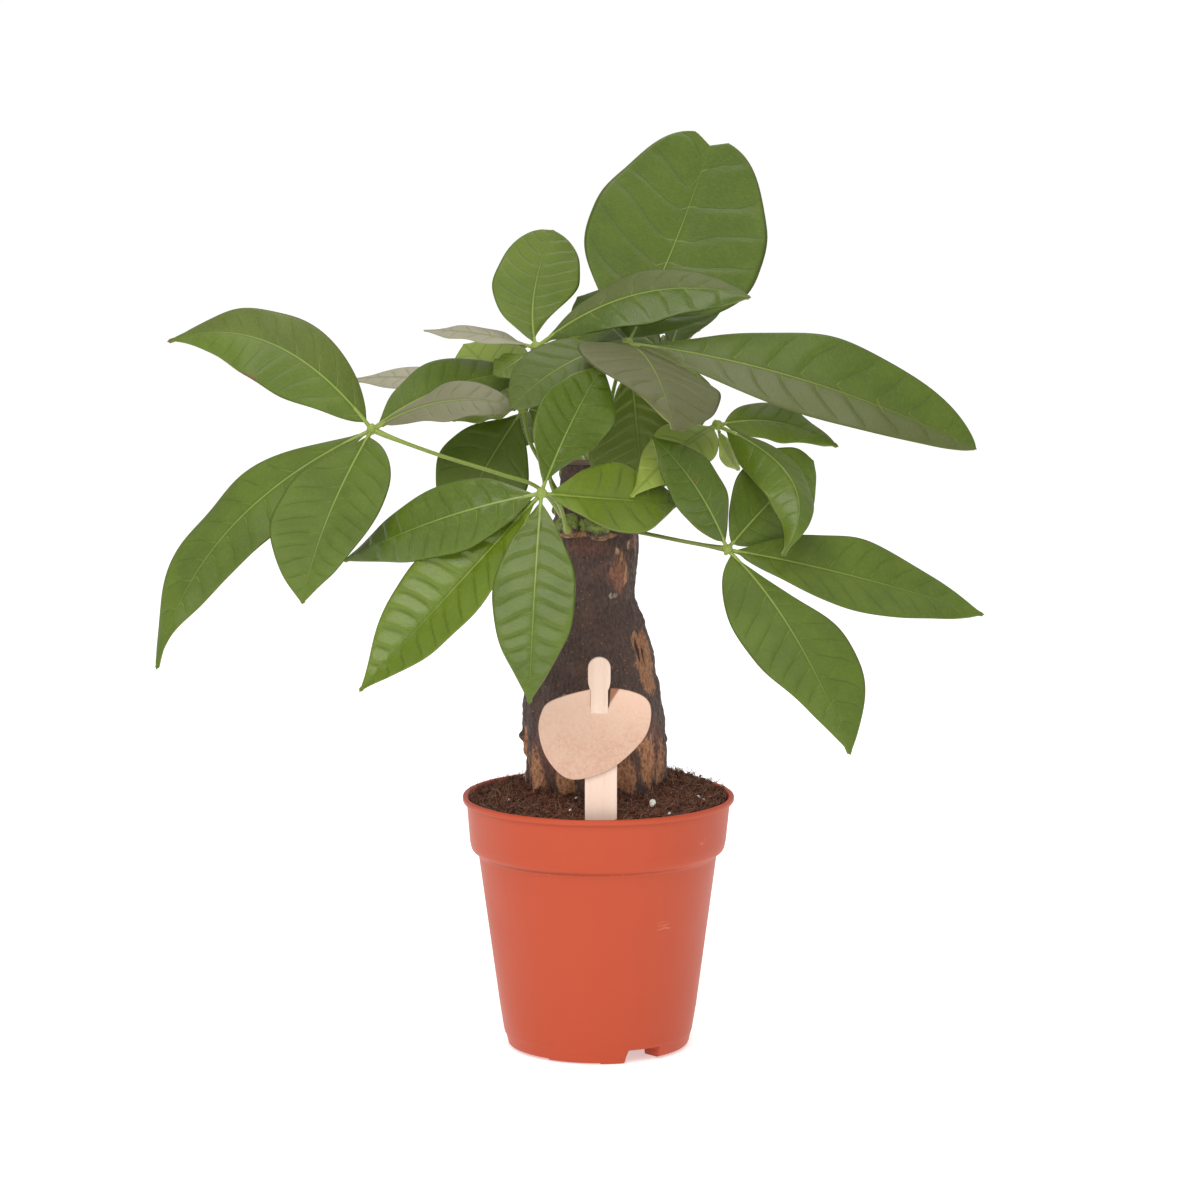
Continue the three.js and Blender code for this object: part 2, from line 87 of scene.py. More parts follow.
def makePiece(name, points, quads, materials, fields=None, slots=None, smooth=True):
    # points in millimetres, quads as point numbers (-1 in the last place for a triangle)
    mesh = bpy.data.meshes.new(name)
    mesh.vertices.add(len(points))
    mesh.vertices.foreach_set("co", (np.asarray(points) * mm).astype(np.float32).ravel())
    quads = np.asarray(quads)
    sizes = np.where(quads[:, 3] < 0, 3, 4)
    corners = quads.ravel()
    corners = corners[corners >= 0]
    mesh.loops.add(len(corners))
    mesh.loops.foreach_set("vertex_index", corners.astype(np.int32))
    mesh.polygons.add(len(quads))
    starts = np.concatenate([[0], np.cumsum(sizes)[:-1]])
    mesh.polygons.foreach_set("loop_start", starts.astype(np.int32))
    mesh.polygons.foreach_set("loop_total", sizes.astype(np.int32))
    mesh.polygons.foreach_set("use_smooth", np.full(len(quads), smooth))
    for material in materials:
        mesh.materials.append(material)
    if slots is not None:
        mesh.polygons.foreach_set("material_index", np.asarray(slots).astype(np.int32))
    mesh.update(calc_edges=True)
    for field, values in (fields or {}).items():
        vector = np.ndim(values) == 2
        attribute = mesh.attributes.new(field, "FLOAT_VECTOR" if vector else "FLOAT", "POINT")
        attribute.data.foreach_set("vector" if vector else "value", np.asarray(values, np.float32).ravel())
    mesh.validate()
    piece = bpy.data.objects.new(name, mesh)
    bpy.context.scene.collection.objects.link(piece)
    return piece


def unitBall(rows, columns):
    # points of a ball of radius 1, ring by ring from the top, each at
    # (sin tilt cos turn, sin tilt sin turn, cos tilt)
    tilts = np.linspace(0, np.pi, rows)
    turns = np.linspace(0, 2 * np.pi, columns, endpoint=False)
    tilt, turn = np.meshgrid(tilts, turns, indexing="ij")
    ball = np.stack([np.sin(tilt) * np.cos(turn), np.sin(tilt) * np.sin(turn), np.cos(tilt)], axis=-1)
    return ball.reshape(-1, 3)


def throughPoints(p0, p1, p2, p3, t):
    # Catmull-Rom: runs from p1 to p2, and its slope at each is half the way between that point's neighbours
    bend = 2 * p0 - 5 * p1 + 4 * p2 - p3
    twist = 3 * p1 - p0 - 3 * p2 + p3
    return (2 * p1 + (p2 - p0) * t + bend * t**2 + twist * t**3) / 2


def settle(piece, slot, *nodes):
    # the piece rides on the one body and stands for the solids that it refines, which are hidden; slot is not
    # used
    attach(piece, "root")
    if nodes:
        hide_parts(*nodes)


def ripples(points, wavelengths, seed, count=28):
    # soft noise: the sum of plane waves in random directions, stretched by a wavelength along each axis
    rng = np.random.default_rng(seed)
    directions = rng.normal(size=(count, 3))
    directions /= np.linalg.norm(directions, axis=1, keepdims=True)
    directions *= rng.uniform(0.6, 1.6, (count, 1))
    phases = rng.uniform(0, 2 * np.pi, count)
    scaled = np.asarray(points) / np.asarray(wavelengths) * 2 * np.pi
    return np.sin(scaled @ directions.T + phases).sum(axis=-1) / math.sqrt(count / 2)


def smoothStep(x, low, high):
    # 0 below low, 1 above high, and between them three times the share squared less twice its cube
    t = np.clip((x - low) / (high - low), 0, 1)
    return t * t * (3 - 2 * t)


# where the photograph was taken from: aim and distance in millimetres, lookDown in degrees
view = {
    "aim": (0.9, 0, 200),
    "distance": 2200,
    "lookDown": 8.8,
    "lens": 150,
    "floorSize": 60000,
}


def makeCamera():
    # the camera stands back from its aim by (0, -cos down, sin down) times the distance
    down = math.radians(view["lookDown"])
    camera = bpy.data.objects.new("photoCamera", bpy.data.cameras.new("photoCamera"))
    camera.data.lens = view["lens"]
    camera.data.sensor_width = 36
    camera.data.clip_end = 100
    back = np.array([0, -math.cos(down), math.sin(down)]) * view["distance"]
    camera.location = ((np.array(view["aim"]) + back) * mm).tolist()
    camera.rotation_euler = (math.pi / 2 - down, 0, 0)
    bpy.context.scene.collection.objects.link(camera)
    bpy.context.scene.camera = camera


lamps = {
    "keySoftbox": {"place": (-380, -1400, 1450), "size": (1700, 1200), "power": 27, "tint": "#fffaf4"},
    "overheadStrip": {"place": (200, 500, 1500), "size": (1200, 300), "power": 6, "tint": "#fff8f2"},
}
surroundings = {
    "strength": 0.6,
    "colour": "#ffffff",
    "floor": "#f6f6f5",
    "floorGlow": 0.46,
    "lampAim": (0, 0, 250),
}


def makeLights():
    # plain white surroundings, and soft lamps turned from straight down by their aim's slope and turn
    world = bpy.data.worlds.new("studio")
    world.use_nodes = True
    background = world.node_tree.nodes["Background"]
    background.inputs["Color"].default_value = hexColour(surroundings["colour"])
    background.inputs["Strength"].default_value = surroundings["strength"]
    bpy.context.scene.world = world
    for name, lamp in lamps.items():
        light = bpy.data.lights.new(name, "AREA")
        light.shape = "RECTANGLE"
        light.size, light.size_y = (side * mm for side in lamp["size"])
        light.energy = lamp["power"]
        light.color = hexColour(lamp["tint"])[:3]
        holder = bpy.data.objects.new(name, light)
        place = np.array(lamp["place"]) * mm
        aim = np.array(surroundings["lampAim"]) * mm - place
        holder.location = place.tolist()
        holder.rotation_euler = (
            math.acos(-aim[2] / np.linalg.norm(aim)),
            0,
            math.atan2(aim[1], aim[0]) - math.pi / 2,
        )
        bpy.context.scene.collection.objects.link(holder)


def makeFloor():
    # opal acrylic light table: pale, matt, and lit a little from below
    material, tree, shader = newMaterial("opalAcrylicTable")
    shader.inputs["Base Color"].default_value = hexColour(surroundings["floor"])
    shader.inputs["Roughness"].default_value = 0.9
    shader.inputs["Specular IOR Level"].default_value = 0.1
    shader.inputs["Emission Color"].default_value = hexColour(surroundings["colour"])
    shader.inputs["Emission Strength"].default_value = surroundings["floorGlow"]
    half = view["floorSize"] / 2
    corners = [(-half, -half, 0), (half, -half, 0), (half, half, 0), (-half, half, 0)]
    floor = makePiece("studioFloor", corners, [[0, 1, 2, 3]], [material])


makeCamera()
makeLights()
makeFloor()
bpy.context.scene.view_settings.view_transform = "Standard"
print("camera, lamps and floor are in place")


pot = {
    "height": 113,
    "rimRadius": 60,
    "neckRadius": 58.3,
    "lipHeight": 2.6,
    "bandRadius": 56.9,
    "bandBottom": 93,
    "bodyTop": 87.2,
    "bodyRadius": 52.9,
    "footRadius": 40.5,
    "wall": 1.6,
    "padRadius": 9,
    "ringInner": 31,
    "baseHeight": 6.5,
    "notches": 3,
    "notchWidth": 16.6,
    "notchHeight": 6.2,
    "notchTurn": 29.6,
    "segments": 264,
    "colour": "#b04526",
    "deep": "#a33d20",
    "dust": "#cf8468",
    # a darker tone painted along the groove under the band
    "grime": "#6f3823",
    "roughness": 0.46,
    # low parts of the foot ring: start and end in degrees from a notch, and height
    "footPads": [(-28.3, -12, 0), (-62.6, -28.3, 0.45)],
    "footLift": 1.0,
}

# rubbed places on the pot's wall: x, y, z and size
scuffPlaces = [(28.8, -40.2, 61, 5.5), (45, -34, 99, 3), (15, 46, 60, 7), (-40, 22, 50, 6)]


def roundCorners(corners, steps=4):
    # each corner (r, z, radius) becomes an arc-like bend between points that radius away from it
    corners = np.array(corners, float)
    places = corners[:, :2]
    before = np.roll(places, 1, axis=0) - places
    after = np.roll(places, -1, axis=0) - places
    reach = corners[:, 2:3]
    start = places + before / np.linalg.norm(before, axis=1, keepdims=True) * reach
    end = places + after / np.linalg.norm(after, axis=1, keepdims=True) * reach
    t = np.linspace(0, 1, steps + 1)[None, :, None]
    bends = (1 - t) ** 2 * start[:, None] + 2 * t * (1 - t) * places[:, None] + t**2 * end[:, None]
    return bends.reshape(-1, 2)


def potProfile():
    # underside, outside from the foot to the rolled lip, then the inside down to the floor
    p = pot
    lipBottom = p["height"] - p["lipHeight"]
    inner = p["wall"]
    floorTop = p["baseHeight"] + inner
    return roundCorners([
        (0.01, 0, 0.005),
        (p["padRadius"], 0, 0.6),
        (p["padRadius"] + 1, p["baseHeight"], 0.8),
        (p["ringInner"] - 0.5, p["baseHeight"], 0.8),
        (p["ringInner"], 0, 0.8),
        (p["footRadius"] - 0.4, 0, 1.6),
        (p["footRadius"] + 0.9, 6.2, 0.4),
        (p["footRadius"] + 1.35, 7.4, 0.4),
        (p["footRadius"] + 1.95, 11, 0.5),
        (p["footRadius"] + 3.1, 18.5, 0.5),
        (p["bodyRadius"], p["bodyTop"], 1.5),
        (p["bandRadius"] - 0.9, p["bandBottom"] - 3.9, 1.6),
        (p["bandRadius"], p["bandBottom"], 1.5),
        (p["neckRadius"], lipBottom, 0.35),
        (p["rimRadius"], lipBottom + 0.2, 0.7),
        (p["rimRadius"], p["height"], 0.8),
        (p["rimRadius"] - 2.2, p["height"], 0.8),
        (p["neckRadius"] - inner, lipBottom, 0.6),
        (p["bandRadius"] - inner, p["bandBottom"], 1.2),
        (p["bodyRadius"] - inner, p["bodyTop"], 1.2),
        (p["footRadius"] + 1.8 - inner, floorTop, 1.0),
        (0.01, floorTop, 0.005),
    ])


def makePot():
    # the profile is carried round the axis at (r cos turn, r sin turn, z), and the foot ring is lifted at
    # each notch
    p = pot
    even = np.linspace(0, 360, p["segments"], endpoint=False)
    halfNotch = math.degrees(p["notchWidth"] / 2 / p["footRadius"])
    centres = 270 + p["notchTurn"] + 360 / p["notches"] * np.arange(p["notches"])
    # more points stand where a notch or a pad begins and ends
    notchSteps = [side * halfNotch + step for side in (-1, 1) for step in np.linspace(-2.4, 2.4, 13)]
    padEnds = [at for pad in p["footPads"] for at in pad[:2]]
    padSteps = [at + step for at in padEnds for step in (-0.6, -0.2, 0.2, 0.6)]
    edges = [centres + step for step in notchSteps + padSteps]
    turns = np.unique(np.concatenate([even, np.concatenate(edges) % 360]).round(4))
    profile = potProfile()
    r, turn = np.meshgrid(profile[:, 0], np.radians(turns), indexing="ij")
    z = np.repeat(profile[:, 1:2], len(turns), axis=1)
    away = (np.degrees(turn)[None] - centres[:, None, None] + 180) % 360 - 180
    # a notch's left corner is rounder than its right one
    leftSide = 1 - smoothStep(-away, halfNotch - 2.2, halfNotch + 1.2)
    rightSide = 1 - smoothStep(away, halfNotch - 0.4, halfNotch + 0.4)
    opened = np.minimum(leftSide, rightSide).max(axis=0)
    ring = smoothStep(r, p["ringInner"] - 1.2, p["ringInner"] - 0.2)
    z = z + np.maximum(p["notchHeight"] - z, 0) * opened * ring
    # between the shallow foot pads the ring stands a little clear of the table
    clear = np.full(r.shape, float(p["footLift"]))
    for start, end, height in p["footPads"]:
        started = smoothStep(away, start - 0.5, start + 0.5)
        ended = smoothStep(away, end - 0.5, end + 0.5)
        onPad = (started * (1 - ended)).max(axis=0)
        clear = clear + (height - clear) * onPad
    z = z + clear * ring * np.clip(1 - z / 5, 0, 1)
    place = np.stack([r * np.cos(turn), r * np.sin(turn), z], axis=-1)
    # thermoforming leaves the wall very slightly uneven
    sway = 0.12 * ripples(place.reshape(-1, 3), (38, 38, 46), seed=4).reshape(r.shape)
    place[..., :2] *= (1 + np.where(z > 12, sway, 0) / np.maximum(r, 20))[..., None]
    quads = gridFaces(*r.shape, closed=True)
    return makePiece("nurseryPot", place.reshape(-1, 3), quads, [potPlastic()])


def potPlastic():
    # thin polypropylene, thermoformed and self-coloured: even terracotta, satin, with faint scuffs and dust
    p = pot
    material, tree, shader = newMaterial("thermoformedPolypropylene")
    place = addNode(tree, "TexCoord").outputs["Object"]
    cloud = addNode(tree, "TexNoise", {"Vector": place, "Scale": perMetre(45.4545), "Detail": 4.0}).outputs[0]
    tone = addNode(tree, "MapRange", {"Value": cloud, 1: 0.3, 2: 0.7, 3: 0.0, 4: 0.16}).outputs[0]
    # scuffs: hair-thin pale rubs about a millimetre apart, drawn out sideways, in a few places only
    stretch = {"Vector": place, "Rotation": (0, 0.35, 0.2), "Scale": perMetre(7.69231, 7.69231, 1.11111)}
    drawn = addNode(tree, "Mapping", stretch).outputs[0]
    strokes = {"Vector": drawn, "Scale": 1.0, "Detail": 3.0, "Distortion": 0.6}
    rub = addNode(tree, "TexNoise", strokes).outputs[0]
    thin = addNode(tree, "MapRange", {"Value": rub, 1: 0.54, 2: 0.66, 3: 0.0, 4: 0.75}).outputs[0]
    scuff = 0.0
    for x, y, z, size in scuffPlaces:
        gap = addNode(tree, "VectorMath", {0: place, 1: (x * mm, y * mm, z * mm)}, operation="DISTANCE")
        ends = {"Value": gap.outputs["Value"], 1: size * mm, 2: 0.0, 3: 0.0, 4: 1.0}
        nearby = addNode(tree, "MapRange", ends).outputs[0]
        here = addNode(tree, "Math", {0: nearby, 1: thin}, operation="MULTIPLY").outputs[0]
        scuff = addNode(tree, "Math", {0: scuff, 1: here}, operation="MAXIMUM").outputs[0]
    # the groove under the band is painted darker along a thin, patchy line, and holds a few pale grains of
    # dust; it comes in from below and goes out above, at heights measured from the top of the body
    height = addNode(tree, "SeparateXYZ", {"Vector": place}).outputs["Z"]
    inGroove = 1.0
    for low, high, start, end in ((-0.4, 0.3, 0.0, 1.0), (0.6, 1.5, 1.0, 0.0)):
        bottom, top = (p["bodyTop"] + low) * mm, (p["bodyTop"] + high) * mm
        ends = {"Value": height, 1: bottom, 2: top, 3: start, 4: end}
        within = addNode(tree, "MapRange", ends, interpolation_type="SMOOTHSTEP").outputs[0]
        inGroove = addNode(tree, "Math", {0: inGroove, 1: within}, operation="MULTIPLY").outputs[0]
    patchy = addNode(tree, "MapRange", {"Value": cloud, 1: 0.4, 2: 0.6, 3: 0.12, 4: 0.52}).outputs[0]
    grime = addNode(tree, "Math", {0: inGroove, 1: patchy}, operation="MULTIPLY").outputs[0]
    # dust grains about half a millimetre across, in about three of ten cells 1.6 mm wide
    cells = addNode(tree, "TexVoronoi", {"Vector": place, "Scale": perMetre(1.6129)})
    grain = addNode(tree, "MapRange", {"Value": cells.outputs["Distance"], 1: 0.12, 2: 0.24, 3: 0.8, 4: 0.0})
    lot = addNode(tree, "SeparateXYZ", {"Vector": cells.outputs["Color"]}).outputs["X"]
    chosen = addNode(tree, "MapRange", {"Value": lot, 1: 0.7, 2: 0.74})
    dustedAndSheened = addNode(tree, "Math", {0: grain.outputs[0], 1: chosen.outputs[0]}, operation="MULTIPLY")
    dust = addNode(tree, "Math", {0: dustedAndSheened.outputs[0], 1: inGroove}, operation="MULTIPLY").outputs[0]
    pale = addNode(tree, "Math", {0: scuff, 1: dust}, operation="ADD", use_clamp=True).outputs[0]
    colour = hexColour(p["colour"])
    for share, coat in ((tone, "deep"), (grime, "grime"), (pale, "dust")):
        layers = {0: share, 6: colour, 7: hexColour(p[coat])}
        colour = addNode(tree, "Mix", layers, data_type="RGBA").outputs[2]
    ends = {"Value": cloud, 1: 0.3, 2: 0.7, 3: p["roughness"] - 0.04, 4: p["roughness"] + 0.05}
    gloss = addNode(tree, "MapRange", ends)
    # the mould's grain, drawn as coarse as 1.1 mm so that it shows
    fine = addNode(tree, "TexNoise", {"Vector": place, "Scale": perMetre(1.11111), "Detail": 2.0})
    bump = addNode(tree, "Bump", {"Height": fine.outputs[0], "Strength": 0.06, "Distance": 0.0003})
    tree.links.new(colour, shader.inputs["Base Color"])
    tree.links.new(gloss.outputs[0], shader.inputs["Roughness"])
    tree.links.new(bump.outputs[0], shader.inputs["Normal"])
    shader.inputs["Specular IOR Level"].default_value = 0.32
    return material


settle(makePot(), "pot_plastic", "pot")
print("the pot is made")


trunk = {
    # height, radius, and how far the middle lies to the right of the pot's axis
    "stations": [
        (98, 28.5, -1),
        (112, 30, -1),
        (122, 30, -1),
        (135, 30.8, -2),
        (147, 30.8, -2.6),
        (158, 30, -2.8),
        (168, 28, -2.5),
        (178, 26, -2.2),
        (187, 23.6, -2.2),
        (195, 20.6, -2.4),
        (202, 18.6, -2.2),
        (210, 18.6, -1.6),
        (220, 19, -1.2),
        (229, 19.2, -1.2),
        (235, 18.2, -1.4),
        (239, 15.5, -3),
        (242, 11.5, -6),
        (250, 10, -6.6),
        (261, 9.6, -6.8),
    ],
    "around": 284,
    "along": 324,
    "rootLobes": 7,
    "rootDepth": 1.5,
    "rootFade": 24,
    "soilLine": 118,
    "fullRelief": 18,
    # swollen eyes that the fronds have sprouted from: place and radius
    "eyes": [
        ((-13, -15, 235), 5.5),
        ((0, -19, 234), 5.0),
        ((-15, 7, 240), 5.0),
        ((5, 10, 240), 5.5),
        ((1, 1, 242), 6.0),
    ],
    # old buds on the bark: place, how far they stand out, and how broad they are
    "knobs": [((-32, 0, 139.5), 2.6, 7), ((29, 0, 138), 1.8, 5)],
    "bark": "#4d3c37",
    "barkDark": "#3a2c29",
    "barkPale": "#6a5249",
    "barkWorn": "#644a3f",
    # corky specks: spacing in millimetres, the share of places left bare, size as a share of the spacing
    "specks": [(2.12766, 0.5, 0.22, "#8e5a3e"), (1.63934, 0.8, 0.2, "#9c7356")],
}

# marks on the bark: field, turn round the trunk in degrees (270 is the front), height, half width along the
# bark and half height
barkMarks = [
    ("peeled", 330, 174, 7.0, 14),
    ("peeled", 322, 184, 3.2, 5),
    ("peeled", 100, 202, 2.5, 6),
    ("peeled", 68, 158, 5, 11),
    ("cracked", 321, 181, 0.9, 6),
    ("cracked", 327, 177, 0.8, 5),
    ("rusty", 306, 215.5, 6.2, 11.5),
    ("rusty", 228, 214, 3.5, 9),
    ("rusty", 340, 226, 3.4, 7),
    ("rusty", 78, 190, 7, 9),
    ("flaked", 301, 224, 1.5, 2.4),
    ("flaked", 308, 221, 1.4, 3.4),
    ("flaked", 314, 214, 1.2, 7.5),
    ("flaked", 320, 226, 1.0, 4),
    ("scarred", 296, 204.5, 3.6, 2.4),
    ("scarred", 246, 161, 5, 3),
    ("rooty", 214, 126, 6, 12),
    ("rooty", 244, 124, 5, 10),
    ("rooty", 296, 126, 4.5, 9),
    ("rooty", 322, 130, 6.5, 15),
    ("rooty", 346, 128, 5, 13),
    ("rooty", 312, 142, 4.5, 6),
    ("rooty", 190, 130, 4, 18),
    ("rooty", 20, 129, 4.5, 18),
    ("rooty", 40, 121, 3, 9),
    ("rooty", 60, 123, 4, 15),
    ("rooty", 84, 120, 3.5, 8),
    ("rooty", 106, 124, 4.5, 19),
    ("rooty", 130, 121, 3, 11),
    ("rooty", 152, 124, 4, 16),
    ("rooty", 170, 120, 3, 8),
    ("ruddy", 226, 132, 14, 17),
    ("ruddy", 278, 124, 14, 11),
    ("ruddy", 330, 136, 22, 20),
    ("ruddy", 60, 128, 26, 17),
    ("ruddy", 140, 128, 26, 17),
    ("ruddy", 258, 226, 12, 6),
    ("rimmed", 250, 231.6, 9, 1.5),
    ("rimmed", 284, 231, 7, 1.4),
    ("mossy", 250, 235.5, 10, 2.8),
    ("mossy", 280, 235, 7, 2.8),
    ("mossy", 90, 236, 14, 3.5),
]

# a mark's main colour and its fibres' colour, and the strengths between which it comes in
markTones = {
    "ruddy": ("#6b463a", "#4c342e", 0.35, 1.15),
    "rusty": ("#93644f", "#68483b", 0.35, 1.1),
    "rooty": ("#b58660", "#7c4a38", 0.3, 0.75),
    "peeled": ("#9a6f50", "#754d38", 0.34, 0.5),
    "flaked": ("#b68c69", "#8f6549", 0.5, 0.95),
    "cracked": ("#3c2823", "#2d1f1c", 0.4, 0.6),
    "scarred": ("#a59a92", "#6a5a52", 0.75, 1.0),
    "rimmed": ("#a5805a", "#7a5238", 0.35, 0.8),
    "mossy": ("#7f8c47", "#525d2c", 0.3, 0.62),
    "sawn": ("#8d7057", "#5a4436", 0.3, 0.6),
}


def barkRelief(turn, z):
    # root lobes that fade out above the soil, over slow bulges that turn with height
    t = trunk
    fade = np.exp(-np.maximum(z - t["soilLine"], 0) / t["rootFade"])
    ridges = t["rootDepth"] * fade * np.sin(t["rootLobes"] * turn + 0.6)
    return ridges + 0.5 * np.sin(3 * turn + z / 19) + 0.35 * np.sin(5 * turn - z / 11)


def spread(turns, radius, z, markTurn, markZ, halfAround, halfHeight):
    # a soft oval on the bark, flat in its middle: its width is measured along the arc from its own turn
    arc = ((np.degrees(turns) - markTurn + 180) % 360 - 180) * np.pi / 180 * radius
    away = (arc / halfAround) ** 2 + ((z - markZ) / halfHeight) ** 2
    return np.exp(-(away**1.5))


def makeTrunk():
    # radius and middle follow the stations with height; relief and fibres push the surface out
    t = trunk
    stations = np.array(t["stations"], float)
    low, high = stations[0, 0], stations[-1, 0]
    z = np.linspace(low, high, t["along"])
    # the stations are joined by straight lines, and a bell-shaped average softens their corners
    blend = np.exp(-((np.arange(-9, 10) / 4) ** 2))
    blend /= blend.sum()

    def along(column):
        # one column of the stations at every height, softened
        padded = np.pad(z, 9, mode="reflect", reflect_type="odd")
        raw = np.interp(padded, stations[:, 0], stations[:, column])
        return np.convolve(raw, blend, mode="valid")

    turn = np.linspace(0, 2 * np.pi, t["around"], endpoint=False)
    turns, heights = np.meshgrid(turn, z)
    radius = along(1)[:, None]
    middle = along(2)[:, None]
    share = np.minimum(1, radius / t["fullRelief"])
    r = radius + barkRelief(turns, heights) * share
    place = np.stack([middle + r * np.cos(turns), r * np.sin(turns), heights], axis=-1)
    flat = place.reshape(-1, 3)
    # fibres stand upright: short waves round the trunk, long ones up it
    fibres = 0.13 * ripples(flat, (3.2, 3.2, 15), seed=11, count=60)
    plates = 0.3 * ripples(flat, (9, 9, 17), seed=12, count=40)
    pits = 0.1 * ripples(flat, (2.2, 2.2, 3.5), seed=13, count=60)
    near = np.exp(-np.maximum(flat[:, 2] - t["soilLine"], 0) / 16)
    flutes = 0.85 * near * ripples(flat, (7.5, 7.5, 70), seed=14, count=30)
    marks = {field: np.zeros(len(flat)) for field, *mark in barkMarks}
    for field, *mark in barkMarks:
        marks[field] = np.maximum(marks[field], spread(turns, r, heights, *mark).ravel())
    knobs = sum(rise * np.exp(-((flat - at) ** 2).sum(axis=1) / broad) for at, rise, broad in t["knobs"])
    sunk = -0.45 * smoothStep(marks["peeled"], 0.35, 0.6) - 0.5 * smoothStep(marks["cracked"], 0.3, 0.7)
    ropes = marks["rooty"] * (0.55 * ripples(flat, (2.6, 2.6, 44), seed=16, count=40) + 0.5)
    lift = (fibres + plates + pits + flutes + sunk + ropes).reshape(r.shape) * share + knobs.reshape(r.shape)
    outward = np.stack([np.cos(turns), np.sin(turns), np.zeros_like(turns)], axis=-1)
    place += outward * lift[..., None]
    # both ends close to a point; the top is the old saw cut
    rings = [place]
    for scale in (0.86, 0.6, 0.3, 0.02):
        ring = place[-1].copy()
        centre = np.array([middle[-1, 0], 0, 0])
        ring[:, :2] = centre[:2] + (ring[:, :2] - centre[:2]) * scale
        ring[:, 2] = high + 0.25 * (1 - scale) * ripples(ring, (6, 6, 6), seed=15)
        rings.append(ring[None])
    foot = place[:1].copy()
    foot[..., :2] *= 0.02
    place = np.concatenate([foot, *rings])
    added = len(rings) - 1
    rows = len(place)
    points = place.reshape(-1, 3)
    fields = {}
    for name, values in marks.items():
        fields[name] = np.pad(values.reshape(r.shape), ((1, added), (0, 0))).ravel()
    sawn = np.zeros((rows, t["around"]))
    sawn[-added:] = 1
    fields["sawn"] = sawn.ravel()
    quads = gridFaces(rows, t["around"], closed=True)
    for at, size in t["eyes"]:
        points, quads, fields = addEye(points, quads, fields, at, size)
    return makePiece("cutBackTrunk", points, quads, [trunkBark()], fields)


def addEye(points, quads, fields, at, size):
    # a bud eye: a ball puckered by ripples, mossy on top
    rows, columns = 26, 40
    way = unitBall(rows, columns)
    pucker = 0.35 * ripples(way * size, (5, 5, 5), seed=int(at[2] * 7 + size * 10))
    ball = np.array(at) + way * (size + pucker)[:, None]
    quadsHere = gridFaces(rows, columns, closed=True, start=len(points))[:, ::-1]
    extra = {name: np.zeros(len(ball)) for name in fields}
    extra["mossy"] = 0.25 + 0.7 * smoothStep(way[:, 2], -0.5, 0.4)
    extra["rimmed"] = 0.7 * smoothStep(-way[:, 2], 0.1, 0.6)
    joined = {name: np.concatenate([fields[name], extra[name]]) for name in fields}
    return np.concatenate([points, ball]), np.concatenate([quads, quadsHere]), joined


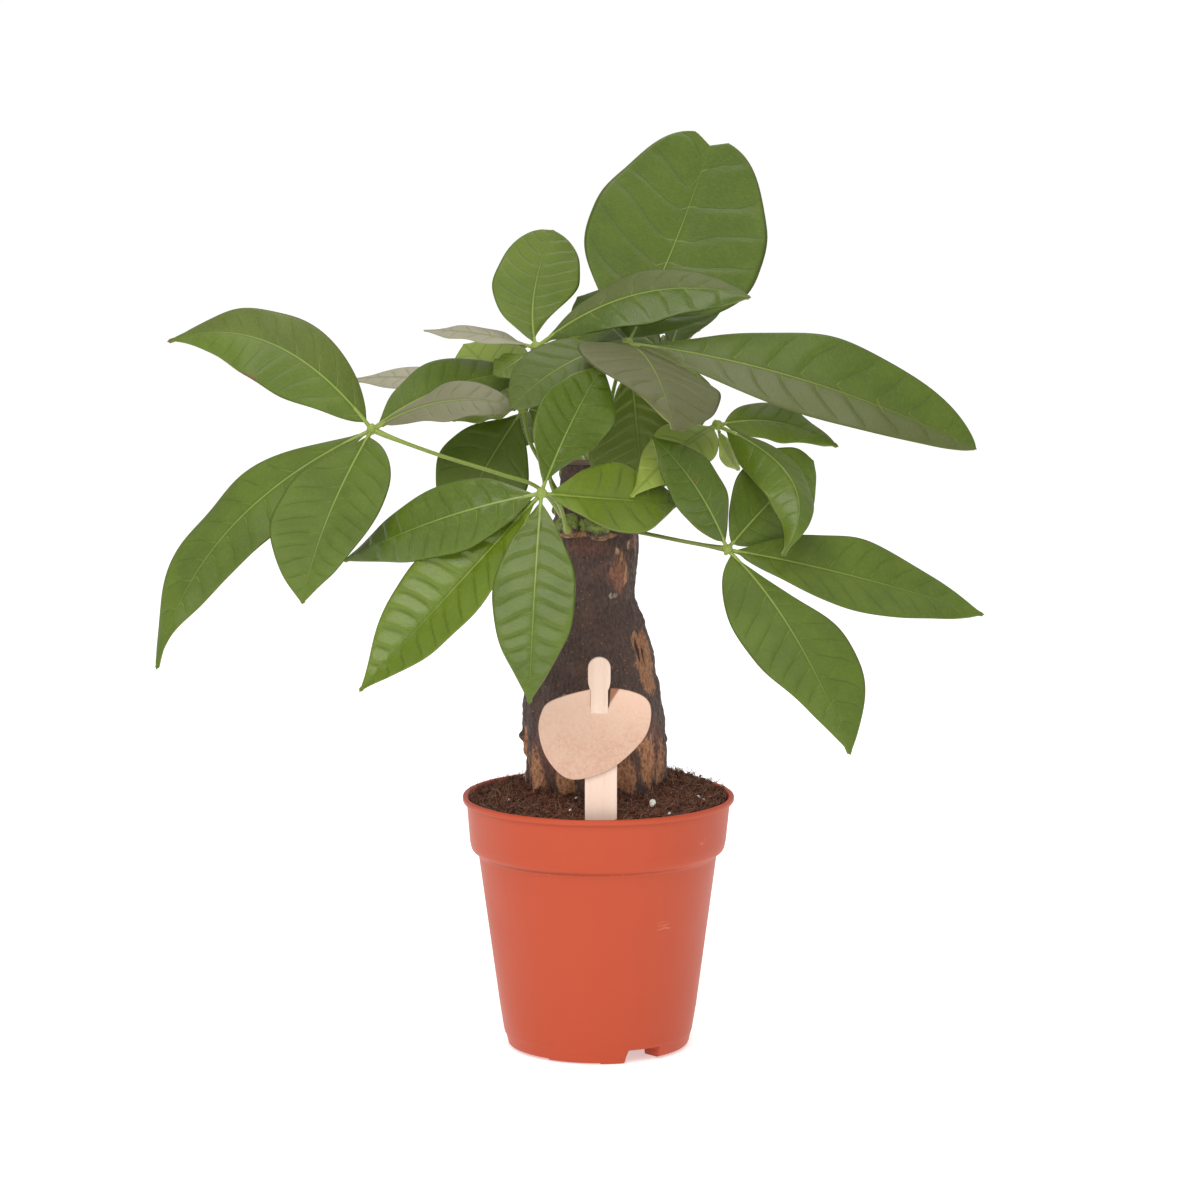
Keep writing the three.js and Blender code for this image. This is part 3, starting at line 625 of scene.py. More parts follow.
def trunkBark():
    # living bark of a young trunk: thin, dark purplish brown, finely fibrous upright, with corky specks;
    # peeled places show tan inner bark, old root ridges are straw-coloured, and moss sits at the shoulder
    material, tree, shader = newMaterial("fibrousBark")
    place = addNode(tree, "TexCoord").outputs["Object"]
    # fibres a millimetre wide; clouds and grains of 11 and 1.4 mm
    upright = addNode(tree, "Mapping", {"Vector": place, "Scale": perMetre(1, 1, 2.63158)}).outputs[0]
    strands = {"Vector": upright, "Scale": 1.0, "Detail": 5.0, "Roughness": 0.65}
    clouds = {"Vector": place, "Scale": perMetre(11.1111), "Detail": 5.0, "Roughness": 0.6}
    grains = {"Vector": place, "Scale": perMetre(1.42857), "Detail": 4.0, "Roughness": 0.7}
    fibre = addNode(tree, "TexNoise", strands).outputs[0]
    cloud = addNode(tree, "TexNoise", clouds).outputs[0]
    grain = addNode(tree, "TexNoise", grains).outputs[0]
    dark = addNode(tree, "MapRange", {"Value": fibre, 1: 0.3, 2: 0.54}).outputs[0]
    pale = addNode(tree, "MapRange", {"Value": fibre, 1: 0.56, 2: 0.8, 3: 0.0, 4: 0.6}).outputs[0]
    worn = addNode(tree, "MapRange", {"Value": cloud, 1: 0.52, 2: 0.74, 3: 0.0, 4: 0.5}).outputs[0]
    colour = hexColour(trunk["barkDark"])
    for share, coat in ((dark, "bark"), (pale, "barkPale"), (worn, "barkWorn")):
        layers = {0: share, 6: colour, 7: hexColour(trunk[coat])}
        colour = addNode(tree, "Mix", layers, data_type="RGBA").outputs[2]
    # corky specks, under a millimetre across: many orange ones and a few paler
    for spacing, low, size, speckTone in trunk["specks"]:
        cells = addNode(tree, "TexVoronoi", {"Vector": place, "Scale": perMetre(spacing), "Randomness": 1.0})
        ends = {"Value": cells.outputs["Distance"], 1: size / 2, 2: size, 3: 1.0, 4: 0.0}
        dot = addNode(tree, "MapRange", ends)
        lot = addNode(tree, "SeparateXYZ", {"Vector": cells.outputs["Color"]}).outputs["X"]
        chosen = addNode(tree, "MapRange", {"Value": lot, 1: low, 2: low + 0.1})
        speck = addNode(tree, "Math", {0: dot.outputs[0], 1: chosen.outputs[0]}, operation="MULTIPLY")
        layers = {0: speck.outputs[0], 6: colour, 7: hexColour(speckTone)}
        colour = addNode(tree, "Mix", layers, data_type="RGBA").outputs[2]
    # a mark's edge is broken up by clouds and fibres, and its two colours follow fibre and grain
    rough = addNode(tree, "MapRange", {"Value": cloud, 1: 0.25, 2: 0.75, 3: -0.3, 4: 0.3}).outputs[0]
    streaky = addNode(tree, "MapRange", {"Value": fibre, 1: 0.3, 2: 0.7, 3: -0.22, 4: 0.22}).outputs[0]
    edge = addNode(tree, "Math", {0: rough, 1: streaky}, operation="ADD").outputs[0]
    both = addNode(tree, "Math", {0: fibre, 1: grain}, operation="ADD").outputs[0]
    mixed = addNode(tree, "MapRange", {"Value": both, 1: 0.8, 2: 1.15}).outputs[0]
    for field, (main, other, low, high) in markTones.items():
        mark = addNode(tree, "Attribute", attribute_name=field).outputs["Fac"]
        strength = addNode(tree, "Math", {0: mark, 1: edge}, operation="ADD").outputs[0]
        ends = {"Value": strength, 1: low, 2: high}
        shown = addNode(tree, "MapRange", ends, interpolation_type="SMOOTHSTEP").outputs[0]
        present = addNode(tree, "MapRange", {"Value": mark, 1: 0.02, 2: 0.12}).outputs[0]
        factor = addNode(tree, "Math", {0: shown, 1: present}, operation="MULTIPLY").outputs[0]
        layers = {0: mixed, 6: hexColour(other), 7: hexColour(main)}
        own = addNode(tree, "Mix", layers, data_type="RGBA").outputs[2]
        colour = addNode(tree, "Mix", {0: factor, 6: colour, 7: own}, data_type="RGBA").outputs[2]
    bump = addNode(tree, "Bump", {"Height": both, "Strength": 0.7, "Distance": 0.0006})
    gloss = addNode(tree, "MapRange", {"Value": fibre, 1: 0.3, 2: 0.7, 3: 0.85, 4: 0.52})
    tree.links.new(colour, shader.inputs["Base Color"])
    tree.links.new(gloss.outputs[0], shader.inputs["Roughness"])
    tree.links.new(bump.outputs[0], shader.inputs["Normal"])
    shader.inputs["Specular IOR Level"].default_value = 0.35
    return material


settle(makeTrunk(), "bark", "trunk")
print("the trunk is made")


soil = {
    "wallRadius": 57,
    "edge": 110.6,
    "edgeRise": 1.3,
    "heap": 1.8,
    "reach": 56.7,
    "crown": 118.5,
    "crownRadius": 30,
    "lump": 1.1,
    "gap": 2.5,
    "stickX": 1.3,
    "pressed": 1.5,
    "around": 260,
    "across": 90,
    "crumbs": 3200,
    "fibres": 5000,
    "wisps": 260,
    "colour": "#452a21",
    "reddish": "#683f2f",
    "strand": "#9d745c",
    "strandDark": "#523024",
    "perlitePore": "#bdb7af",
    "perlite": "#f8f6f2",
    # the side and underside, which the pot hides: radius and height
    "wall": [(55.6, 106), (54, 90), (50, 84), (39.7, 8.5), (38, 8.4), (0.3, 8.4)],
}


def soilHeight(x, y):
    # a mound that is highest round the trunk, lower at the back left and heaped at the back right, with broad
    # lumps and smaller clods
    s = soil
    r = np.hypot(x, y)
    turn = np.degrees(np.arctan2(y, x))
    slope = (s["wallRadius"] - s["gap"] - r) / (s["wallRadius"] - s["crownRadius"])
    edge = s["edge"] + s["edgeRise"] * (1 - np.exp(-((((turn - 145 + 180) % 360 - 180) / 42) ** 2)))
    mound = edge + (s["crown"] - edge) * np.clip(slope, 0, 1)
    mound = mound + s["heap"] * np.exp(-(((turn - 50) / 36) ** 2)) * smoothStep(r, 26, 42)
    waves = np.sin(x / 4.1 + 1.3 * np.sin(y / 6.3)) + np.sin(y / 3.7 + 1.1 * np.sin(x / 5.2))
    flat = np.stack([x, y, np.zeros_like(x)], axis=-1)
    clods = 0.5 * ripples(flat, (5.5, 5.5, 1), seed=21, count=40)
    clods = clods + 0.28 * ripples(flat, (2.4, 2.4, 1), seed=22, count=60)
    # in front of the stick the soil is pressed down
    pressed = s["pressed"] * np.exp(-(((x - s["stickX"]) / 8.5) ** 4)) * smoothStep(-y, 48.5, 50.5)
    return mound + (s["lump"] / 2) * waves * smoothStep(mound, edge, edge + 1.5) + clods - pressed


def makeSoil():
    # a disc of soil seen from above, carried down the pot's inside wall and closed below
    s = soil
    turn = np.linspace(0, 2 * np.pi, s["around"], endpoint=False)
    reach = np.linspace(0.3, s["reach"], s["across"])
    r, turns = np.meshgrid(reach, turn, indexing="ij")
    x, y = r * np.cos(turns), r * np.sin(turns)
    top = np.stack([x, y, soilHeight(x, y)], axis=-1)
    radius, height = np.array(s["wall"]).T[:, :, None]
    level = np.repeat(height, s["around"], axis=1)
    wall = np.stack([radius * np.cos(turn), radius * np.sin(turn), level], axis=-1)
    place = np.concatenate([top, wall])
    quads = gridFaces(len(place), s["around"], closed=True)[:, ::-1]
    return makePiece("pottingSoil", place.reshape(-1, 3), quads, [peat()])


def peat():
    # peat and coir potting soil: very dark, dry on top, matt, with reddish coir dust, in crumbs of 3.8 mm and
    # grit of 0.9 mm
    material, tree, shader = newMaterial("peatAndCoir")
    place = addNode(tree, "TexCoord").outputs["Object"]
    crumbs = {"Vector": place, "Scale": perMetre(3.84615), "Detail": 6.0, "Roughness": 0.7}
    cloud = addNode(tree, "TexNoise", crumbs).outputs[0]
    grit = addNode(tree, "TexNoise", {"Vector": place, "Scale": perMetre(0.909091), "Detail": 3.0}).outputs[0]
    tone = addNode(tree, "Attribute", attribute_name="crumbTone").outputs["Fac"]
    mottled = addNode(tree, "MapRange", {"Value": cloud, 1: 0.38, 2: 0.66, 3: 0.0, 4: 0.8}).outputs[0]
    shade = addNode(tree, "Math", {0: mottled, 1: tone}, operation="ADD", use_clamp=True).outputs[0]
    layers = {0: shade, 6: hexColour(soil["colour"]), 7: hexColour(soil["reddish"])}
    colour = addNode(tree, "Mix", layers, data_type="RGBA")
    both = addNode(tree, "Math", {0: cloud, 1: grit}, operation="ADD")
    bump = addNode(tree, "Bump", {"Height": both.outputs[0], "Strength": 0.8, "Distance": 0.0009})
    tree.links.new(colour.outputs[2], shader.inputs["Base Color"])
    tree.links.new(bump.outputs[0], shader.inputs["Normal"])
    shader.inputs["Roughness"].default_value = 0.95
    shader.inputs["Specular IOR Level"].default_value = 0.2
    return material


def scatter(count, seed, inner=27.5, outer=55.4):
    # places on the soil between the trunk and the pot's wall, evenly by area
    rng = np.random.default_rng(seed)
    r = np.sqrt(rng.uniform(inner**2, outer**2, count))
    turn = rng.uniform(0, 2 * np.pi, count)
    x, y = r * np.cos(turn), r * np.sin(turn)
    # the soil is pressed away in front of the stick
    y = np.where((np.abs(x - soil["stickX"]) < 9) & (y < -48), y + 8, y)
    return rng, np.stack([x, y, soilHeight(x, y)], axis=-1)


def makeLumps(name, count, seed, sizes, material, tones, sink=0.1, centres=None):
    # angular crumbs: a coarse ball, stretched, turned and roughened differently for each
    rows, columns = 5, 7
    rng, places = scatter(count, seed)
    if centres is not None:
        places = np.array(centres, float)
    ball = unitBall(rows, columns)
    size = rng.uniform(0, 1, (count, 1, 1)) ** 1.6 * (sizes[1] - sizes[0]) + sizes[0]
    if centres is not None:
        size = np.array(sizes, float)[:, None, None]
    size = size * rng.uniform(0.7, 1.3, (count, 1, 3))
    rough = 1 + 0.28 * rng.uniform(-1, 1, (count, len(ball), 1))
    # its top and bottom rings stay points
    rough[:, :columns] = 1
    rough[:, -columns:] = 1
    spin = rng.uniform(0, 2 * np.pi, count)
    lean = rng.uniform(-0.8, 0.8, count)
    local = ball[None] * rough * size / 2
    x, y, z = local[..., 0], local[..., 1], local[..., 2]
    lean, spin = lean[:, None], spin[:, None]
    x, z = x * np.cos(lean) + z * np.sin(lean), z * np.cos(lean) - x * np.sin(lean)
    x, y = x * np.cos(spin) - y * np.sin(spin), x * np.sin(spin) + y * np.cos(spin)
    points = np.stack([x, y, z], axis=-1) + places[:, None]
    points[..., 2] += size[..., 2] * (0.5 - sink)
    one = gridFaces(rows, columns, closed=True)[:, ::-1]
    quads = (one[None] + (np.arange(count) * len(ball))[:, None, None]).reshape(-1, 4)
    tone = np.repeat(rng.uniform(*tones, count), len(ball))
    return makePiece(name, points.reshape(-1, 3), quads, [material], {"crumbTone": tone}, smooth=False)


def makeFibres():
    # coir strands: thin three-sided tubes along a bent arc that lies on the soil, some ends standing up
    s = soil
    rng, places = scatter(s["fibres"], 31, outer=56)
    steps, sides = 7, 3
    length = rng.uniform(3, 15, s["fibres"])
    turn = rng.uniform(0, 2 * np.pi, s["fibres"])
    bend = rng.uniform(-2.2, 2.2, s["fibres"])
    rise = rng.uniform(0, 1, s["fibres"]) ** 4 * 5
    # the last ones are wisps that stand up near the wall
    wisps = np.arange(s["fibres"]) >= s["fibres"] - s["wisps"]
    rise = np.where(wisps, rng.uniform(2, 7.5, s["fibres"]), rise)
    outward = rng.uniform(44, 55, s["fibres"]) / np.hypot(places[:, 0], places[:, 1])
    places[:, :2] *= np.where(wisps, outward, 1)[:, None]
    t = np.linspace(-0.5, 0.5, steps)[None]
    heading = turn[:, None] + bend[:, None] * t
    stepLength = length[:, None] / (steps - 1)
    x = places[:, :1] + np.cumsum(np.cos(heading) * stepLength, axis=1)
    y = places[:, 1:2] + np.cumsum(np.sin(heading) * stepLength, axis=1)
    r = np.hypot(x, y)
    pull = np.clip(r, 20, s["reach"]) / r
    x, y = x * pull, y * pull
    # none crosses the front of the stick
    crossing = ((np.abs(x - s["stickX"]) < 8.5) & (y < -47.5)).any(axis=1)
    y = y + 8.5 * crossing[:, None]
    z = soilHeight(x, y) + 0.35 + rise[:, None] * (t + 0.5) ** 2 + 0.5 * np.sin(9 * t + turn[:, None])
    thick = rng.uniform(0.07, 0.22, (s["fibres"], 1)) * (1 - 0.6 * np.abs(t) * 2)
    middle = np.stack([x, y, z], axis=-1)
    across = np.stack([-np.sin(heading), np.cos(heading), np.zeros_like(heading)], axis=-1)
    rings = []
    for k in range(sides):
        a = 2 * math.pi * k / sides
        up = np.array([0, 0, math.sin(a)])
        rings.append(middle + thick[..., None] * (across * math.cos(a) + up))
    points = np.stack(rings, axis=2).reshape(-1, 3)
    last = (steps - 1) * sides
    caps = [[0, 2, 1, -1], [last, last + 1, last + 2, -1]]
    one = np.concatenate([gridFaces(steps, sides, closed=True), caps])
    offset = (np.arange(s["fibres"]) * steps * sides)[:, None, None]
    quads = np.where(one[None] < 0, -1, one[None] + offset).reshape(-1, 4)
    tone = np.repeat(rng.uniform(0, 1, s["fibres"]) ** 1.5, steps * sides)
    return makePiece("coirStrands", points, quads, [coir()], {"crumbTone": tone})


def coir():
    # coconut fibre: dry, straw to red-brown, slightly shiny
    material, tree, shader = newMaterial("coconutFibre")
    tone = addNode(tree, "Attribute", attribute_name="crumbTone").outputs["Fac"]
    layers = {0: tone, 6: hexColour(soil["strandDark"]), 7: hexColour(soil["strand"])}
    colour = addNode(tree, "Mix", layers, data_type="RGBA")
    tree.links.new(colour.outputs[2], shader.inputs["Base Color"])
    shader.inputs["Roughness"].default_value = 0.7
    return material


def perlite():
    # expanded volcanic glass: chalk-white, matt, with pores 0.7 mm apart
    material, tree, shader = newMaterial("perliteGrain")
    place = addNode(tree, "TexCoord").outputs["Object"]
    holes = {"Vector": place, "Scale": perMetre(0.666667), "Detail": 3.0}
    pores = addNode(tree, "TexNoise", holes).outputs[0]
    layers = {0: pores, 6: hexColour(soil["perlitePore"]), 7: hexColour(soil["perlite"])}
    colour = addNode(tree, "Mix", layers, data_type="RGBA")
    bump = addNode(tree, "Bump", {"Height": pores, "Strength": 0.6, "Distance": 0.0004})
    tree.links.new(colour.outputs[2], shader.inputs["Base Color"])
    tree.links.new(bump.outputs[0], shader.inputs["Normal"])
    shader.inputs["Roughness"].default_value = 0.9
    return material


def seatOnSoil(spots):
    # each spot (x, y) with the soil's height there and a little more
    spots = np.array(spots, float)
    return np.stack([spots[:, 0], spots[:, 1], soilHeight(spots[:, 0], spots[:, 1]) + 0.9], axis=-1)


settle(makeSoil(), "potting_soil", "soil")
settle(makeLumps("soilCrumbs", soil["crumbs"], 23, (0.5, 2.4), peat(), (-0.3, 0.7)), "potting_soil")
settle(makeFibres(), "potting_soil")
# perlite grains: x, y and size
perliteSpots = np.array([
    (23.7, -40, 3.6), (44, -17, 2.0), (46, -24, 2.3), (31, -45, 1.1), (14, -31, 1.2), (-39, -23, 1.4),
    (-9.7, -34, 1.4), (36, 36, 3.8), (-32.7, 25, 2.0), (8, 44, 2.4), (-12, -47, 1.2),
])
perlitePlaces = seatOnSoil(perliteSpots[:, :2])
grains = makeLumps(
    "perliteGrains", len(perliteSpots), 41, perliteSpots[:, 2], perlite(), (0, 1), centres=perlitePlaces
)
settle(grains, "potting_soil")
print("the soil is made")


stick = {
    "centre": 1.3,
    "neckCentre": 0.6,
    "front": -51.7,
    "thickness": 2,
    "width": 13.9,
    "neckWidth": 7.5,
    "headWidth": 9.7,
    "bottom": 92,
    "shoulder": 150,
    "neckTop": 169,
    "top": 183.5,
    "edge": 0.3,
    "lean": 2.7,
    "colour": "#e0c8ba",
    "band": "#d5bba9",
    "fleck": "#b98a5e",
}
tag = {
    "front": -53.5,
    "thickness": 1.5,
    "slotWidth": 8.4,
    "slotBottom": 161,
    "edge": 0.45,
    "outline": [
        (-20, 164.4),
        (-4, 169.2),
        (9, 169.6),
        (20, 166),
        (23, 159),
        (20, 148),
        (8, 136),
        (-4, 130.6),
        (-14, 130.6),
        (-22, 139),
        (-25.5, 150),
        (-24.6, 158.5),
    ],
    "colour": "#cbab98",
    "shade": "#b8917a",
    "bloom": "#d2b5a5",
    # painted light on the card's upper part
    "paintedTopLight": "#e2c2ae",
    "speck": "#7d5437",
    # painted shadow of the stick's neck on the card
    "paintedNeckShadow": "#8a5c42",
    "cutEdge": "#7e4c33",
}


def bezier(points, count):
    # a Bezier arc through its control points, without its last point
    t = np.linspace(0, 1, count, endpoint=False)[:, None]
    points = [np.array(p, float) * np.ones_like(t) for p in points]
    while len(points) > 1:
        points = [a * (1 - t) + b * t for a, b in zip(points, points[1:])]
    return points[0]


def closedCurve(points, perSpan):
    # a smooth ring through every point
    p1 = np.array(points, float)[:, None]
    p0, p2, p3 = (np.roll(p1, shift, axis=0) for shift in (1, -1, -2))
    t = np.linspace(0, 1, perSpan, endpoint=False)[None, :, None]
    return throughPoints(p0, p1, p2, p3, t).reshape(-1, 2)


def makePlate(name, outline, plate, materials, lean=0):
    # a flat plate upright in x and z: a rounded edge profile carried round the outline, and two flat faces;
    # lean brings its top forward, in a soft bend behind the tag
    front, thickness, edge = plate["front"], plate["thickness"], plate["edge"]
    outline = np.array(outline, float)
    step = np.roll(outline, -1, axis=0) - np.roll(outline, 1, axis=0)
    inward = np.stack([-step[:, 1], step[:, 0]], axis=-1)
    inward /= np.linalg.norm(inward, axis=1, keepdims=True)
    bend = np.radians([0, 30, 60, 90])
    profile = [(edge * (1 - math.sin(a)), edge * (1 - math.cos(a))) for a in bend]
    profile += [(inset, thickness - depth) for inset, depth in reversed(profile)]
    rings = []
    for inset, depth in profile:
        ring = outline + inward * inset
        rings.append(np.stack([ring[:, 0], np.full(len(ring), front + depth), ring[:, 1]], axis=-1))
    count = len(outline)
    place = np.concatenate(rings)
    place[:, 1] -= lean * smoothStep(place[:, 2], tag["slotBottom"] - 9, tag["slotBottom"] + 2)
    sides = gridFaces(len(rings), count, closed=True)[:, ::-1].tolist()
    mesh = bpy.data.meshes.new(name)
    last = len(place) - count
    caps = [list(range(count)), list(range(last, last + count))[::-1]]
    mesh.from_pydata((place * mm).tolist(), [], sides + caps)
    mesh.polygons.foreach_set("use_smooth", [True] * len(sides) + [False, False])
    for material in materials:
        mesh.materials.append(material)
    mesh.validate()
    piece = bpy.data.objects.new(name, mesh)
    bpy.context.scene.collection.objects.link(piece)
    return piece


def stickOutline():
    # up the right side, round the head and down the left
    s = stick
    half, neck, head = s["width"] / 2, s["neckWidth"] / 2, s["headWidth"] / 2
    middle, x = s["centre"], s["neckCentre"]
    bottom, shoulder, narrow, flare = s["bottom"], s["shoulder"], s["shoulder"] + 8, s["neckTop"]
    arc = np.linspace(0, math.pi, 25)
    crown = np.stack([x + head * np.cos(arc), s["top"] - head + head * np.sin(arc)], axis=-1)
    sides = []
    for way in (1, -1):
        wide, slim, cap = middle + way * half, x + way * neck, x + way * head
        sides.append([
            ([(wide, bottom), (wide, shoulder)], 8),
            ([(wide, shoulder), (wide, shoulder + 5), (slim, shoulder + 3), (slim, narrow)], 10),
            ([(slim, narrow), (slim, flare)], 5),
            ([(slim, flare), (cap, flare + 2), (cap, flare + 5)], 8),
        ])
    right = [bezier(arcPoints, count) for arcPoints, count in sides[0]]
    left = [bezier(arcPoints[::-1], count) for arcPoints, count in sides[1][::-1]]
    return np.concatenate([*right, crown, *left, [(middle - half, bottom)]])


def tagOutline():
    # the pebble shape, with its slot for the stick's neck cut down from the top
    curve = closedCurve(tag["outline"], 14)[::-1]
    # the stick's neck fills the slot but for a narrow gap, wider on the right
    half = tag["slotWidth"] / 2 - 0.25
    x, low = stick["neckCentre"] + 0.3, tag["slotBottom"] - 0.6
    inSlot = (np.abs(curve[:, 0] - x - 0.8) < half + 1.3) & (curve[:, 1] > low)
    start = np.flatnonzero(inSlot & ~np.roll(inSlot, 1))[0]
    curve = np.roll(curve, -start, axis=0)
    cutting = np.roll(inSlot, -start)
    rest = curve[~cutting]
    top = float(np.interp(x, np.sort(curve[cutting][:, 0]), np.sort(curve[cutting][:, 1])))
    flare = 0.6
    slot = np.concatenate([
        bezier([(x + half + flare, top), (x + half + flare / 3, top - 3), (x + half, low + 2.2)], 8),
        bezier([(x + half, low + 2.2), (x + half, low), (x, low)], 9),
        bezier([(x, low), (x - half, low), (x - half, low + 2.2)], 9),
        bezier([(x - half, low + 2.2), (x - half, top)], 8),
        [(x - half, top)],
    ])
    return np.concatenate([rest, slot])


def birchWood():
    # sliced birch: pale, planed smooth and unsealed, with fine brown flecks along the grain, 0.7 mm wide and
    # 6 mm long, over slow bands 4 mm wide
    material, tree, shader = newMaterial("slicedBirch")
    place = addNode(tree, "TexCoord").outputs["Object"]
    flecks = {"Vector": place, "Scale": perMetre(0.666667, 0.666667, 5.88235)}
    along = addNode(tree, "Mapping", flecks).outputs[0]
    fibres = {"Vector": along, "Scale": 1.0, "Detail": 4.0, "Roughness": 0.6}
    grain = addNode(tree, "TexNoise", fibres).outputs[0]
    stripes = {"Vector": place, "Scale": perMetre(3.84615, 3.84615, 111.111)}
    bands = addNode(tree, "Mapping", stripes).outputs[0]
    slow = addNode(tree, "TexNoise", {"Vector": bands, "Scale": 1.0, "Detail": 2.0}).outputs[0]
    fleck = addNode(tree, "MapRange", {"Value": grain, 1: 0.56, 2: 0.74, 3: 0.0, 4: 0.24}).outputs[0]
    tone = addNode(tree, "MapRange", {"Value": slow, 1: 0.2, 2: 0.8}).outputs[0]
    colour = hexColour(stick["band"])
    for share, coat in ((tone, "colour"), (fleck, "fleck")):
        layers = {0: share, 6: colour, 7: hexColour(stick[coat])}
        colour = addNode(tree, "Mix", layers, data_type="RGBA").outputs[2]
    bump = addNode(tree, "Bump", {"Height": grain, "Strength": 0.25, "Distance": 0.0002})
    tree.links.new(colour, shader.inputs["Base Color"])
    tree.links.new(bump.outputs[0], shader.inputs["Normal"])
    shader.inputs["Roughness"].default_value = 0.65
    return material


def kraftCard():
    # thick unbleached kraft board: warm tan, matt, with pulp 1.3 mm coarse and fibre specks 2.4 mm apart; its
    # cut edge is darker
    material, tree, shader = newMaterial("kraftBoard")
    place = addNode(tree, "TexCoord").outputs["Object"]
    mash = {"Vector": place, "Scale": perMetre(1.31579), "Detail": 5.0, "Roughness": 0.8}
    pulp = addNode(tree, "TexNoise", mash).outputs[0]
    cloud = addNode(tree, "TexNoise", {"Vector": place, "Scale": perMetre(8.33333), "Detail": 3.0}).outputs[0]
    tone = addNode(tree, "MapRange", {"Value": pulp, 1: 0.3, 2: 0.7}).outputs[0]
    slow = addNode(tree, "MapRange", {"Value": cloud, 1: 0.4, 2: 0.7, 3: 0.0, 4: 0.25}).outputs[0]
    cells = addNode(tree, "TexVoronoi", {"Vector": place, "Scale": perMetre(2.38095)})
    dot = addNode(tree, "MapRange", {"Value": cells.outputs["Distance"], 1: 0.06, 2: 0.18, 3: 0.3, 4: 0.0})
    lot = addNode(tree, "SeparateXYZ", {"Vector": cells.outputs["Color"]}).outputs["X"]
    chosen = addNode(tree, "MapRange", {"Value": lot, 1: 0.8, 2: 0.84})
    speck = addNode(tree, "Math", {0: dot.outputs[0], 1: chosen.outputs[0]}, operation="MULTIPLY").outputs[0]
    # painted light: the card is lighter towards its top
    height = addNode(tree, "SeparateXYZ", {"Vector": place}).outputs["Z"]
    ends = {"Value": height, 1: 146 * mm, 2: 168 * mm, 3: 0.0, 4: 0.6}
    paintedTopLight = addNode(tree, "MapRange", ends).outputs[0]
    # a painted shadow of the stick's neck: a brown wedge that widens upwards from the slot's foot, on the
    # right of the neck
    across = addNode(tree, "SeparateXYZ", {"Vector": place}).outputs["X"]
    tall = addNode(tree, "Math", {0: height, 1: 162 * mm}, operation="SUBTRACT").outputs[0]
    wide = addNode(tree, "Math", {0: tall, 1: 0.65}, operation="MULTIPLY").outputs[0]
    inside = addNode(tree, "Math", {0: wide, 1: across}, operation="SUBTRACT").outputs[0]
    ends = {"Value": inside, 1: -4.9 * mm, 2: -3.9 * mm, 3: 0.0, 4: 0.95}
    paintedNeckShadow = addNode(tree, "MapRange", ends).outputs[0]
    rightOf = addNode(tree, "MapRange", {"Value": across, 1: 3 * mm, 2: 4 * mm}).outputs[0]
    neckShadowWedge = addNode(tree, "Math", {0: paintedNeckShadow, 1: rightOf}, operation="MULTIPLY").outputs[0]
    # where the surface doesn't face front or back, it is the cut edge
    normal = addNode(tree, "NewGeometry").outputs["Normal"]
    side = addNode(tree, "SeparateXYZ", {"Vector": normal}).outputs["Y"]
    faceOn = addNode(tree, "Math", {0: side}, operation="ABSOLUTE").outputs[0]
    cut = addNode(tree, "MapRange", {"Value": faceOn, 1: 0.35, 2: 0.8, 3: 0.75, 4: 0.0}).outputs[0]
    coats = [
        (tone, "colour"),
        (slow, "bloom"),
        (paintedTopLight, "paintedTopLight"),
        (speck, "speck"),
        (neckShadowWedge, "paintedNeckShadow"),
        (cut, "cutEdge"),
    ]
    colour = hexColour(tag["shade"])
    for share, coat in coats:
        layers = {0: share, 6: colour, 7: hexColour(tag[coat])}
        colour = addNode(tree, "Mix", layers, data_type="RGBA").outputs[2]
    bump = addNode(tree, "Bump", {"Height": pulp, "Strength": 0.25, "Distance": 0.0002})
    tree.links.new(colour, shader.inputs["Base Color"])
    tree.links.new(bump.outputs[0], shader.inputs["Normal"])
    shader.inputs["Roughness"].default_value = 0.8
    return material


woodenStick = makePlate("woodenStick", stickOutline(), stick, [birchWood()], stick["lean"])
settle(woodenStick, "pale_wood", "label_stick")
blankTag = makePlate("blankTag", tagOutline(), tag, [kraftCard()])
settle(blankTag, "card", "label_tag")
print("the stick and tag are made")


# every blade: points along and across its grid, lengths in millimetres, and where its waves start
blade = {
    "rows": 150,
    "halfColumns": 15,
    "thickness": 0.5,
    "stalk": 3.5,
    "stalkRadius": 0.8,
    "tipHalf": 0.12,
    "wavePhase": 0.23,
    "sideLag": 1.9,
    "notchFrom": 0.75,
    "tipPull": 0.6,
    "tipRound": 1.15,
    "veinStep": 8,
}
# every petiole: radii in millimetres, and how far its swollen foot and knee reach, as shares of its length
petiole = {
    "radius": 0.88,
    "swelling": 0.9,
    "footReach": 0.12,
    "kneeReach": 0.1,
    "sides": 14,
    "steps": 48,
    "hubRadius": 2.9,
}

# A leaflet's measures, where its own entry doesn't say otherwise. Width is in millimetres; turn about its
# chord, fold and twist are in degrees; widest is the share of its length where it is widest; base and point
# below 1 make its ends blunt and above 1 draw them out; curl, wave, notch and quilt (the swelling between
# side veins) are depths in millimetres; pairs counts the side veins, and slant leans them. The rest are
# shares for the skin: tone from deep to light, youth (the young colour, which also paints light shining
# through backlit blades), matt, a painted grey sheen where light grazes the blade, and brown spots (along,
# across, and size in millimetres).
plainLeaf = {
    "width": 36,
    "turn": 0,
    "fold": 5,
    "twist": 0,
    "widest": 0.5,
    "base": 1,
    "point": 0.95,
    "curl": 1,
    "wave": 0.6,
    "waves": 2.5,
    "notch": 0,
    "quilt": 0.3,
    "pairs": 0,
    "slant": 0.6,
    "tone": 0.5,
    "youth": 0.0,
    "matt": 1.1,
    "dusty": 0,
    "spots": [],
}

